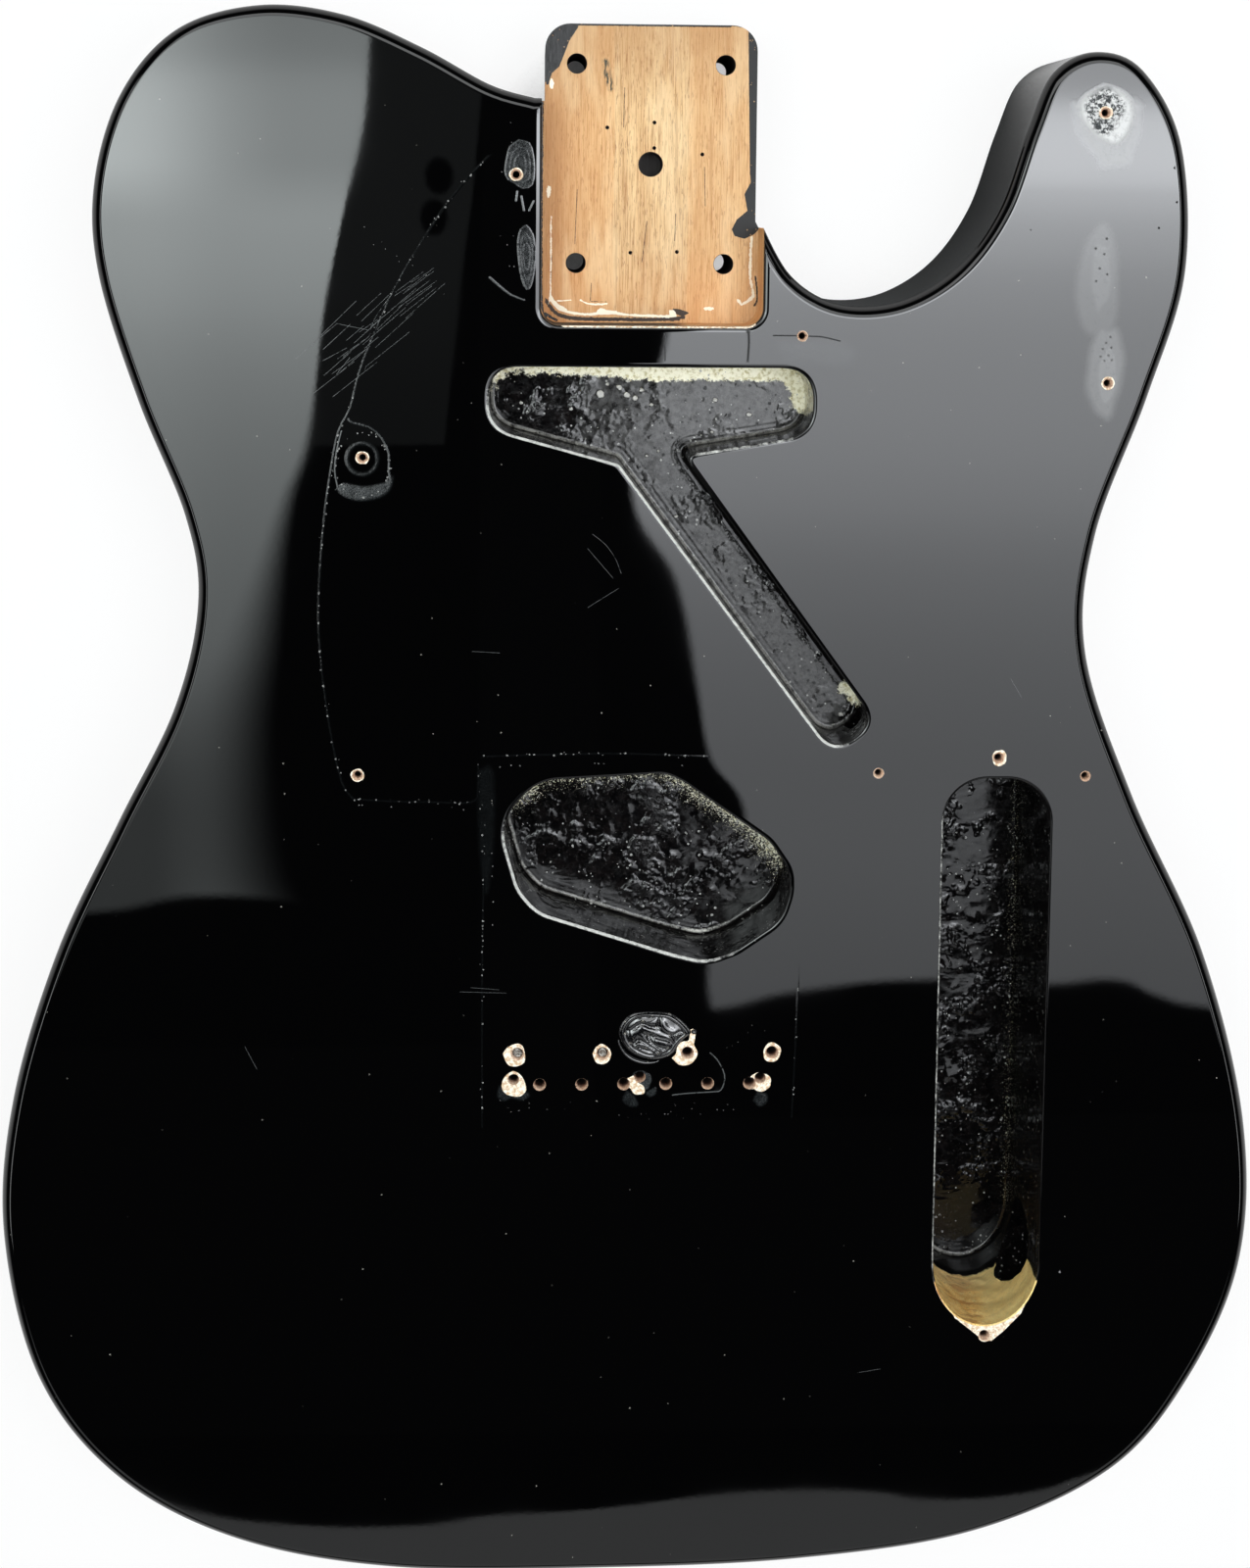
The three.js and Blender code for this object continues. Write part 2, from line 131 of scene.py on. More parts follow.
def rounded(corners, radii, steps=8):
    out = []
    for i, (c, radius) in enumerate(zip(corners, radii)):
        c = np.array(c, float)
        back, ahead = np.array(corners[i - 1]) - c, np.array(corners[(i + 1) % len(corners)]) - c
        lb, la = np.linalg.norm(back), np.linalg.norm(ahead)
        half = math.acos(np.dot(back, ahead) / lb / la) / 2
        reach = min(radius / math.tan(half), lb / 2, la / 2)
        a, b = c + back / lb * reach, c + ahead / la * reach
        for t in np.linspace(0, 1, steps + 1):
            out.append((1 - t) ** 2 * a + 2 * t * (1 - t) * c + t * t * b)
    return out


def even(loop, gap, closed=True):
    """The same outline with no edge longer than gap and no doubled points."""
    out = []
    loop = [np.array(p, float) for p in loop]
    for i, p in enumerate(loop if closed else loop[:-1]):
        q = loop[(i + 1) % len(loop)]
        d = np.linalg.norm(q - p)
        if d < 0.02:
            continue
        for t in np.arange(math.ceil(d / gap)) / math.ceil(d / gap):
            out.append(p + (q - p) * t)
    if not closed:
        out.append(loop[-1])
    return np.array(out)


def inset(loop, d):
    """An outline that runs counter-clockwise, moved inwards by d."""
    e = np.roll(loop, -1, 0) - loop
    e /= np.linalg.norm(e, axis=1)[:, None]
    n = np.stack([-e[:, 1], e[:, 0]], 1)
    m = n + np.roll(n, 1, 0)
    return loop + d * 2 * m / (m * m).sum(1)[:, None]


def body_outline():
    points = [(HEEL_LEFT - HEEL_STEP, SHOULDER_Y)]
    points += [(a * WIDTH, b * LENGTH) for a, b in OUTLINE] + [(HEEL_RIGHT, CUTAWAY_Y)]
    loop = spline(points)
    loop += arc(HEEL_RIGHT - HEEL_R, HEEL_Y - HEEL_R, HEEL_R, HEEL_R, 0, 90, 12)
    loop += arc(HEEL_LEFT + HEEL_R, HEEL_Y - HEEL_R, HEEL_R, HEEL_R, 90, 180, 12)
    loop += [(HEEL_LEFT, SHOULDER_Y)]
    return even(loop, 2.0)


def pocket_outline():
    left, right, r = NECK_X - POCKET_W / 2, NECK_X + POCKET_W / 2, POCKET_R
    loop = [(left, HEEL_Y + 6)] + arc(left + r, POCKET_Y + r, r, r, 180, 270, 12)
    loop += arc(right - r, POCKET_Y + r, r, r, 270, 360, 12) + [(right, HEEL_Y + 6)]
    return even(loop, 1.5)


def neck_rout_outline():
    """The pickup's rout and the wiring channel, as one T-shaped outline."""
    ends, mouth = ([np.array((NECK_X + a * NECK_ROUT_W, NECK_ROUT_Y + b * NECK_ROUT_L)) for a, b in shares]
                   for shares in (NECK_ENDS, NECK_MOUTH))
    along = CHANNEL_END - (mouth[0] + mouth[1]) / 2
    along *= CHANNEL_W / 2 / np.linalg.norm(along)
    across = np.array((-along[1], along[0]))
    tip = CHANNEL_END + along
    corners = [*ends, mouth[0], tip - across, tip + across, mouth[1]]
    radii = [NECK_ROUT_END_R] * 4 + [MOUTH_R, CHANNEL_W / 2, CHANNEL_W / 2, MOUTH_R]
    return even(rounded(corners, radii, 14), 1.0)


def bridge_rout_outline():
    corners = [(NECK_X + a * BRIDGE_ROUT_W, BRIDGE_ROUT_Y + b * BRIDGE_ROUT_L) for a, b in BRIDGE_ROUT]
    return even(rounded(corners, [BRIDGE_ROUT_R] * len(corners)), 1.0)


def control_outline():
    left, right, r = CONTROL_X - CONTROL_W / 2, CONTROL_X + CONTROL_W / 2, CONTROL_R
    loop = arc(right - r, CONTROL_TOP - r, r, r, 0, 90, 14) + arc(left + r, CONTROL_TOP - r, r, r, 90, 180, 14)
    loop += arc(CONTROL_X, CONTROL_END + CONTROL_TAIL, CONTROL_W / 2, CONTROL_TAIL, 180, 360, 40)
    return even(loop, 1.4)


# Meshes, in millimetres until they are linked


def loft(rings, closed=False):
    """Vertices and faces of a skin through rings of the same count, with an end on the first and the last ring
    unless it closes on itself."""
    n, count = len(rings[0]), len(rings)
    faces = [] if closed else [list(range(n))[::-1], [(count - 1) * n + i for i in range(n)]]
    for k in range(count if closed else count - 1):
        here, above = k * n, (k + 1) % count * n
        faces += [[here + i, here + (i + 1) % n, above + (i + 1) % n, above + i] for i in range(n)]
    return np.vstack(rings), faces


def tube(rings, mats):
    """A closed solid through rings of the same count, given from the bottom up as (outline, z)."""
    n = len(rings[0][0])
    verts, faces = loft([np.column_stack([loop, np.full(n, z)]) for loop, z in rings])
    return verts, faces, [mats[0], mats[-1]] + [m for m in mats[1:len(rings)] for _ in range(n)]


def add_object(name, data):
    obj = bpy.data.objects.new(name, data)
    bpy.context.scene.collection.objects.link(obj)
    return obj


def link(name, verts, faces, kinds, materials):
    mesh = bpy.data.meshes.new(name)
    mesh.from_pydata((np.asarray(verts) * MM).tolist(), [], faces)
    for m in materials:
        mesh.materials.append(m)
    mesh.polygons.foreach_set("material_index", np.array(kinds, np.int32))
    return add_object(name, mesh)


def blank():
    loop = body_outline()
    turns = np.radians(np.linspace(0, 90, 9))
    rings = [(inset(loop, EDGE_R * (1 - math.sin(a))), EDGE_R * (1 - math.cos(a))) for a in turns]
    rings += [(loop, T * k / 5) for k in (1, 2, 3, 4)]
    rings += [(inset(loop, EDGE_R * (1 - math.cos(a))), T - EDGE_R + EDGE_R * math.sin(a)) for a in turns]
    return tube(rings, [LACQUER] * (len(rings) + 1))


def pit(loop, depth, lip, fillet, kind, rows=1):
    """What a router takes out: a flat floor with a filleted foot, a wall, and a lip (width, height) softened by
    sanding and lacquer."""
    floor_z, (wide, high) = T - depth, lip
    rings = [(inset(loop, fillet * (1 - math.sin(a))), floor_z + fillet * (1 - math.cos(a)))
             for a in np.radians(np.linspace(0, 90, 5))]
    rings += [(loop, floor_z + fillet + (depth - fillet - high) * k / rows) for k in range(1, rows)]
    lip_starts = len(rings)
    rings += [(inset(loop, -wide * (1 - math.cos(a))), T - high + high * math.sin(a))
              for a in np.radians(np.linspace(0, 90, 8))]
    rings.append((rings[-1][0], T + 5))
    return tube(rings, [kind if i <= lip_starts else LACQUER for i in range(len(rings) + 1)])


def hole(x, y, stages, sides=28):
    """A round hole through stages of (radius, z), from the bottom up."""
    rings = [(np.array(arc(x, y, r, r, 0, 360, sides)[:-1]), z) for r, z in stages]
    return tube(rings, [HOLE] * (len(stages) + 1))


def drilled(x, y, *stages):
    """A hole in the face, through stages of (radius, depth) from the bottom up."""
    return hole(x, y, [(r, T - depth) for r, depth in stages] + [(stages[-1][0], ABOVE)])


def bore(start, end, radius, kind, sides=36):
    """A straight round hole from one point to another."""
    start, end = Vector(start), Vector(end)
    turn = Vector((0, 0, 1)).rotation_difference(end - start).to_matrix()
    verts, faces = loft([[tuple(start + turn @ Vector((radius * math.cos(a), radius * math.sin(a), z)))
                          for a in np.radians(np.arange(sides) * 360 / sides)] for z in (0, (end - start).length)])
    return verts, faces, [kind] * len(faces)


def merged(parts):
    """Parts of (vertices, faces), each with more lists that run with the faces, as one."""
    start = np.cumsum([0, *[len(p[0]) for p in parts]])
    faces = [[i + int(n) for i in face] for n, p in zip(start, parts) for face in p[1]]
    more = [[x for column in columns for x in column] for columns in zip(*[p[2:] for p in parts])]
    return np.vstack([p[0] for p in parts]), faces, *more


def subtract(obj, parts):
    tool = link("tool", *merged(parts), list(obj.data.materials))
    mod = obj.modifiers.new("cut", "BOOLEAN")
    mod.operation, mod.solver, mod.object = "DIFFERENCE", "MANIFOLD", tool
    done = bpy.data.meshes.new_from_object(obj.evaluated_get(bpy.context.evaluated_depsgraph_get()))
    obj.modifiers.clear()
    obj.data = done
    bpy.data.objects.remove(tool)


# Marks: wear, scratches, chips, bare spots and a line of painted shade, kept as values on the vertices of a face that
# is meshed anew


def wobble(angle, seed, depth):
    rng = np.random.default_rng(seed)
    out = np.zeros_like(angle)
    for k in range(2, 9):
        out += rng.normal() / k**0.7 * np.sin(k * angle + rng.uniform(0, 6.28))
    return depth * out / 2


def nearest(p, starts, ends):
    """Distance from each point to the nearest of some segments, and which one that is."""
    best, which = np.full(len(p), 1e9), np.zeros(len(p), int)
    for k, (s, e) in enumerate(zip(starts, ends)):
        d = e - s
        t = np.clip(((p - s) @ d) / max(d @ d, 1e-12), 0, 1)
        gap = np.hypot(*(p - s - t[:, None] * d).T)
        closer = gap < best
        best[closer], which[closer] = gap[closer], k
    return best, which


def to_line(p, line, closed=False):
    """Distance from each point to a polyline."""
    a = np.asarray(line, float)
    return nearest(p, a, np.roll(a, -1, 0))[0] if closed else nearest(p, a[:-1], a[1:])[0]


def within(p, starts, ends):
    """Whether each point lies inside the loops that some edges make."""
    odd = np.zeros(len(p), bool)
    for (x0, y0), (x1, y1) in zip(starts, ends):
        if y0 != y1:
            cross = (y0 > p[:, 1]) != (y1 > p[:, 1])
            odd ^= cross & (p[:, 0] < (x1 - x0) * (p[:, 1] - y0) / (y1 - y0) + x0)
    return odd


def inside(p, loop):
    return within(p, np.asarray(loop, float), np.roll(loop, -1, 0))


def around(p, line, margin):
    """Whether each point lies in the line's box, grown by the margin."""
    return (p > line.min(0) - margin).all(1) & (p < line.max(0) + margin).all(1)


class Line:
    """A thin mark along a polyline, full in its middle and gone at its edges."""

    def __init__(self, channel, points, half, value=1.0, smooth=True):
        self.channel, self.half, self.value = channel, half, value
        gap = max(0.5, min(3.0, half * 5))
        self.line = np.array(spline(points, gap)) if smooth and len(points) > 2 else even(points, gap, False)

    def seeds(self):
        d = np.gradient(self.line, axis=0)
        n = np.stack([-d[:, 1], d[:, 0]], 1) / np.linalg.norm(d, axis=1)[:, None]
        d = d[[0, -1]] / np.linalg.norm(d[[0, -1]], axis=1)[:, None] * self.half
        caps = [self.line[:1] - d[:1], self.line[-1:] + d[1:]]
        return [np.vstack([caps[0], self.line, caps[1]]), *[self.line + n * self.half * k for k in (-1, 1)]]

    def at(self, p):
        near = around(p, self.line, 3 * self.half)
        out = np.zeros(len(p))
        out[near] = self.value * np.clip(1 - to_line(p[near], self.line) / self.half, 0, 1)
        return out


class Patch:
    """A mark that fills a closed outline, with a soft border of the given width."""

    def __init__(self, channel, points, border, value=1.0, smooth=True):
        self.channel, self.border, self.value = channel, border, value
        points = [*points, points[0]] if smooth else points
        loop = spline(points, max(0.4, border))[:-1] if smooth else even(points, max(0.4, border))
        self.loop = np.array(loop)
        x, y = self.loop.T
        if (x * np.roll(y, -1) - y * np.roll(x, -1)).sum() < 0:
            self.loop = self.loop[::-1]

    def seeds(self):
        chains = [np.vstack([c, c[:1]]) for c in (inset(self.loop, k * self.border / 2) for k in (-1, 1))]
        if self.border > 1:
            chains += [np.array([p]) for p in grid(self.loop, self.border / 3, self.border / 2)]
        return chains

    def at(self, p):
        near = around(p, self.loop, 2 * self.border)
        out = np.zeros(len(p))
        d = to_line(p[near], self.loop, True) * np.where(inside(p[near], self.loop), -1, 1)
        out[near] = self.value * np.clip(0.5 - d / self.border, 0, 1)
        return out


def disc(channel, x, y, rx, ry, border, value=1.0, rough=0.08, seed=1, turn=0.0, sides=44):
    a = np.radians(np.arange(sides) * 360 / sides)
    k = 1 + wobble(a, seed, rough)
    u, v = rx * k * np.cos(a), ry * k * np.sin(a)
    c, s = math.cos(math.radians(turn)), math.sin(math.radians(turn))
    return Patch(channel, list(zip(x + c * u - s * v, y + s * u + c * v)), border, value, smooth=False)


def grid(loop, gap, margin=0.0):
    lo, hi = np.min(loop, 0) - margin, np.max(loop, 0) + margin
    xs, ys = np.arange(lo[0], hi[0], gap), np.arange(lo[1], hi[1], gap * 0.87)
    pts = np.array([(x + (j % 2) * gap / 2, y) for j, y in enumerate(ys) for x in xs])
    return pts[inside(pts, loop) | (to_line(pts, loop, True) < margin)]


class Skin:
    """The body's triangles, with values at the vertices."""

    def __init__(self, mesh):
        mesh.calc_loop_triangles()
        self.verts = np.array([v.co for v in mesh.vertices]) / MM
        self.tris = np.array([t.vertices for t in mesh.loop_triangles])
        kinds = np.array([p.material_index for p in mesh.polygons])
        self.kinds = kinds[[t.polygon_index for t in mesh.loop_triangles]]
        self.clean()

    def clean(self):
        """Joins vertices that lie at one place and drops triangles that have no area."""
        key = np.round(self.verts * 2000).astype(np.int64)
        _, first, back = np.unique(key, axis=0, return_index=True, return_inverse=True)
        self.verts, self.tris = self.verts[first], back.reshape(-1)[self.tris]
        a, b, c = self.tris.T
        keep = (a != b) & (b != c) & (c != a)
        self.tris, self.kinds = self.tris[keep], self.kinds[keep]

    def normals(self):
        a, b, c = (self.verts[self.tris[:, k]] for k in range(3))
        n = np.cross(b - a, c - a)
        size = np.linalg.norm(n, axis=1)
        return n / np.maximum(size, 1e-12)[:, None], size / 2

    def relay(self, z, kind, marks, spacing):
        """Meshes the flat faces at height z anew, so that they hold the marks."""
        n, _ = self.normals()
        zs = self.verts[self.tris][:, :, 2]
        flat = (n[:, 2] > 0.99999) & (abs(zs - z) < 2e-3).all(1) & (self.kinds == kind)
        taken, kept = self.tris[flat], self.tris[~flat]
        edges = {(t[i], t[(i + 1) % 3]) for t in taken.tolist() for i in range(3)}
        rim = [e for e in edges if (e[1], e[0]) not in edges]
        ids = sorted({v for e in rim for v in e})
        place = {v: i for i, v in enumerate(ids)}
        border = self.verts[ids][:, :2]
        ring = np.array([[place[a], place[b]] for a, b in rim])
        seg_a, seg_b = border[ring[:, 0]], border[ring[:, 1]]
        points, chains = [border], ring.tolist()
        count = len(border)
        lo, hi = border.min(0), border.max(0)
        lines = [c for m in marks for c in m.seeds()]
        frame_box = np.array([lo, (hi[0], lo[1]), hi, (lo[0], hi[1])])
        lines += [np.array([p]) for p in grid(frame_box, spacing)]
        every = np.vstack(lines)
        good = within(every, seg_a, seg_b) & (nearest(every, seg_a, seg_b)[0] > CLEAR)
        i = 0
        for line in lines:
            ok = good[i:i + len(line)]
            for k in range(len(line)):
                if ok[k]:
                    if k and ok[k - 1]:
                        chains.append([count - 1, count])
                    points.append(line[k:k + 1])
                    count += 1
            i += len(line)
        points = np.vstack(points)
        out = delaunay_2d_cdt([Vector(p) for p in points], chains, [], 0, 1e-4)
        flat_pts = np.array([tuple(p) for p in out[0]])
        new_ids = np.empty(len(flat_pts), int)
        extra = []
        for k, came in enumerate(out[3]):
            real = [c for c in came if c < len(ids)]
            if real:
                new_ids[k] = ids[real[0]]
            else:
                new_ids[k] = len(self.verts) + len(extra)
                extra.append((*flat_pts[k], z))
        tri = np.array(out[2])
        tri = new_ids[tri[within(flat_pts[tri].mean(1), seg_a, seg_b)]]
        self.verts = np.vstack([self.verts, np.array(extra)]) if extra else self.verts
        a, b, c = (self.verts[tri[:, k]] for k in range(3))
        turn = np.cross(b - a, c - a)[:, 2] < 0
        tri[turn] = tri[turn][:, ::-1]
        self.tris = np.vstack([kept, tri])
        self.kinds = np.concatenate([self.kinds[~flat], np.full(len(tri), kind)])

    def prune(self):
        """Drops slivers that only hang on an edge of the mesh."""
        lone = np.array([True])
        while lone.any():
            low, high = np.sort(np.stack([self.tris, np.roll(self.tris, -1, 1)], 2), 2).transpose(2, 0, 1)
            _, back, count = np.unique(low * len(self.verts) + high, return_inverse=True, return_counts=True)
            lone = (count[back.reshape(low.shape)] == 1).any(1)
            self.tris, self.kinds = self.tris[~lone], self.kinds[~lone]

    def corner_normals(self, limit=40):
        """Smooth normals that stay true to flat faces and break at edges sharper than the limit."""
        n, area = self.normals()
        level = abs(n[:, 2]) > 0.99999
        weight = np.where(level, 1e6, 1.0) * np.maximum(area, 1e-9)
        corner = self.tris.reshape(-1)
        face = np.repeat(np.arange(len(self.tris)), 3)
        order = np.argsort(corner, kind="stable")
        count = np.bincount(corner, minlength=len(self.verts))
        start = np.concatenate([[0], np.cumsum(count)[:-1]])
        total = np.zeros((len(corner), 3))
        cos = math.cos(math.radians(limit))
        for k in range(count.max()):
            has = count[corner] > k
            other = face[order[np.minimum(start[corner] + k, len(corner) - 1)]]
            close = has & ((n[face] * n[other]).sum(1) > cos)
            total[close] += (n[other] * weight[other][:, None])[close]
        size = np.linalg.norm(total, axis=1)
        return np.where(size[:, None] > 0, total / np.maximum(size, 1e-12)[:, None], n[face])

    def build(self, name, materials, channels):
        obj = link(name, self.verts, self.tris.tolist(), self.kinds, materials)
        obj.data.polygons.foreach_set("use_smooth", np.ones(len(self.tris), bool))
        for channel, values in channels.items():
            layer = obj.data.attributes.new(channel, "FLOAT", "POINT")
            layer.data.foreach_set("value", values.astype(np.float32))
        obj.data.normals_split_custom_set(self.corner_normals().tolist())
        return obj


# Materials


class Signal:
    """A node's output that takes arithmetic."""

    def __init__(self, tree, socket):
        self.tree, self.socket = tree, socket

    def __add__(self, other):
        return self.tree.math("ADD", self, other)

    def __sub__(self, other):
        return self.tree.math("SUBTRACT", self, other)

    def __rsub__(self, other):
        return self.tree.math("SUBTRACT", other, self)

    def __mul__(self, other):
        return self.tree.math("MULTIPLY", self, other)

    def __truediv__(self, other):
        return self.tree.math("DIVIDE", self, other)

    def __pow__(self, other):
        return self.tree.math("POWER", self, other)

    def __lt__(self, other):
        return self.tree.math("LESS_THAN", self, other)

    def __gt__(self, other):
        return self.tree.math("GREATER_THAN", self, other)

    def clamped(self):
        self.socket.node.use_clamp = True
        return self


class Tree:
    """Short calls for building a node tree."""

    def __init__(self, tree):
        self.t = tree
        tree.nodes.clear()

    def add(self, kind, settings=None, **sockets):
        node = self.t.nodes.new(kind)
        for key, value in (settings or {}).items():
            setattr(node, key, value)
        for key, value in sockets.items():
            self.put(node.inputs[int(key[1:]) if key[1:].isdigit() else key.replace("_", " ")], value)
        return node

    def put(self, socket, value):
        if isinstance(value, Signal):
            value = value.socket
        if isinstance(value, bpy.types.NodeSocket):
            self.t.links.new(value, socket)
        elif isinstance(value, tuple) and socket.type == "RGBA" and len(value) == 3:
            socket.default_value = (*value, 1)
        else:
            socket.default_value = value

    def math(self, op, a, b=0.0):
        return Signal(self, self.add("ShaderNodeMath", {"operation": op}, i0=a, i1=b).outputs[0])

    def highest(self, first, *more):
        return self.math("MAXIMUM", first, self.highest(*more)) if more else first

    def place(self, scale=1, turn=(0, 0, 0)):
        """Object coordinates in millimetres, times a scale or one for each axis."""
        scale = scale if isinstance(scale, tuple) else (scale,) * 3
        if not hasattr(self, "coord"):
            self.coord = self.add("ShaderNodeTexCoord").outputs["Object"]
        return self.add("ShaderNodeMapping", Vector=self.coord, Rotation=turn,
                        Scale=tuple(s / MM for s in scale)).outputs[0]

    def axes(self):
        if not hasattr(self, "xyz"):
            outputs = self.add("ShaderNodeSeparateXYZ", Vector=self.place()).outputs
            self.xyz = [Signal(self, socket) for socket in outputs]
        return self.xyz

    def noise(self, scale, detail, rough, seed, twist=0.0, turn=(0, 0, 0)):
        node = self.add("ShaderNodeTexNoise", {"noise_dimensions": "4D"}, Vector=self.place(scale, turn), W=seed,
                        Scale=1.0, Detail=detail, Roughness=rough, Distortion=twist)
        return Signal(self, node.outputs["Fac"])

    def cells(self, scale, seed):
        """Distance to the nearest of scattered points."""
        node = self.add("ShaderNodeTexVoronoi", {"voronoi_dimensions": "4D"}, Vector=self.place(scale), W=seed,
                        Scale=1.0, Randomness=1.0)
        return Signal(self, node.outputs["Distance"])

    def span(self, value, low, high, to_low=0.0, to_high=1.0):
        node = self.add("ShaderNodeMapRange", {"interpolation_type": "SMOOTHSTEP"}, Value=value)
        for key, v in (("From Min", low), ("From Max", high), ("To Min", to_low), ("To Max", to_high)):
            self.put(node.inputs[key], v)
        return Signal(self, node.outputs[0])

    def choose(self, kind, factor, a, b, first, out):
        node = self.add("ShaderNodeMix", {"data_type": kind})
        for key, v in ((0, factor), (first, a), (first + 1, b)):
            self.put(node.inputs[key], v)
        return Signal(self, node.outputs[out])

    def mix(self, factor, a, b):
        return self.choose("RGBA", factor, a, b, 6, 2)

    def blend(self, factor, a, b):
        return self.choose("FLOAT", factor, a, b, 2, 0)

    def coats(self, colour, *layers):
        """Lays (mask, tint) over the colour, one after the other."""
        for mask, tint in layers:
            colour = self.mix(mask, colour, tint)
        return colour

    def value(self, name):
        return Signal(self, self.add("ShaderNodeAttribute", {"attribute_name": name}).outputs["Fac"])

    def bumps(self, *layers):
        """Relief by layers of (height, its full size in millimetres)."""
        normal = None
        for height, size in layers:
            node = self.add("ShaderNodeBump", Height=height, Distance=size * MM, Strength=1.0)
            if normal:
                self.put(node.inputs["Normal"], normal)
            normal = node.outputs[0]
        return normal

    def finish(self, made, **sockets):
        shader = self.add("ShaderNodeBsdfPrincipled", **sockets)
        self.add("ShaderNodeOutputMaterial", Surface=shader.outputs[0])
        return made


def material(name):
    m = bpy.data.materials.new(name)
    m.use_nodes = True
    return m, Tree(m.node_tree)


def srgb(r, g, b):
    return tuple(c / 12.92 if c <= 0.04045 else ((c + 0.055) / 1.055) ** 2.4 for c in (r / 255, g / 255, b / 255))


def lacquer():
    m, t = material("gloss_black_lacquer")
    haze, scratch, bare, crack = (t.value(k) for k in ("haze", "scratch", "bare", "crack"))
    chalk, edge, grit = t.value("chalk"), t.value("edge"), t.value("grit")
    mottle = t.span(t.noise(1.0, 5, 0.7, 3, twist=0.6), 0.42, 0.56)
    cloud = t.span(t.noise(0.45, 3, 0.6, 4), 0.25, 0.6, 0.55, 1.0)
    dull = (haze * t.blend(t.span(chalk, 0.5, 0.9), cloud, mottle)).clamped()
    lines = (scratch * t.span(t.noise(0.8, 3, 0.6, 9), 0.3, 0.5)).clamped()
    powder = (chalk * t.span(t.noise(0.8, 5, 0.7, 12), 0.28, 0.5, 0.6, 1.0)).clamped()
    chip = t.span(bare + (t.noise(1.5, 4, 0.65, 5) - 0.5) * 0.9, 0.4, 0.55)
    # Pale lines on the lips: wear, and painted highlight on the walls that face the neck and the treble side
    wear_and_highlight = t.span(edge + (t.noise(0.6, 5, 0.7, 14) - 0.5) * 1.1, 0.4, 0.75)
    speck = (t.cells(0.34, 2) < 0.075) * t.span(t.noise(0.02, 2, 0.5, 7), 0.4, 0.6)
    grains = t.cells(1.15, 6) < grit * 0.36
    film = t.mix(t.span(t.noise(2.5, 3, 0.6, 15), 0.45, 0.6), (0.014, 0.017, 0.018), (0.036, 0.041, 0.042))
    raw = t.mix(t.span(t.noise(0.9, 4, 0.7, 8), 0.4, 0.58), srgb(206, 172, 134), srgb(255, 246, 226))
    colour = t.coats(
        (0.0009, 0.0009, 0.001), (t.span(chalk, 0.0, 0.2), (0.03, 0.03, 0.03)), (powder, (0.66, 0.66, 0.65)),
        (dull, film), (lines, (0.2, 0.21, 0.21)), (chip, raw), (wear_and_highlight, (0.5, 0.5, 0.47)),
        (speck * 0.45, (0.5, 0.48, 0.42)),
        (grains * t.span(t.noise(1.5, 2, 0.5, 10), 0.35, 0.6, 0.25, 1.0), (0.2, 0.2, 0.19)))
    rough = t.blend(dull, t.span(t.noise(0.03, 2, 0.5, 11), 0.3, 0.7, 0.012, 0.03), 0.3)
    for mask, value in ((lines, 0.4), (powder, 0.75), (chip, 0.75), (wear_and_highlight, 0.5), (crack, 0.9), (grains, 0.6)):
        rough = t.blend(mask, rough, value)
    relief = t.highest(t.highest(dull, chip), powder, wear_and_highlight)
    normal = t.bumps((t.noise(0.018, 1, 0.4, 21), 0.05), (t.noise(0.7, 2, 0.5, 22), 0.0006),
                     (t.noise(1.6, 4, 0.65, 23) * relief, 0.08))
    return t.finish(m, Base_Color=colour, Roughness=rough, Normal=normal)


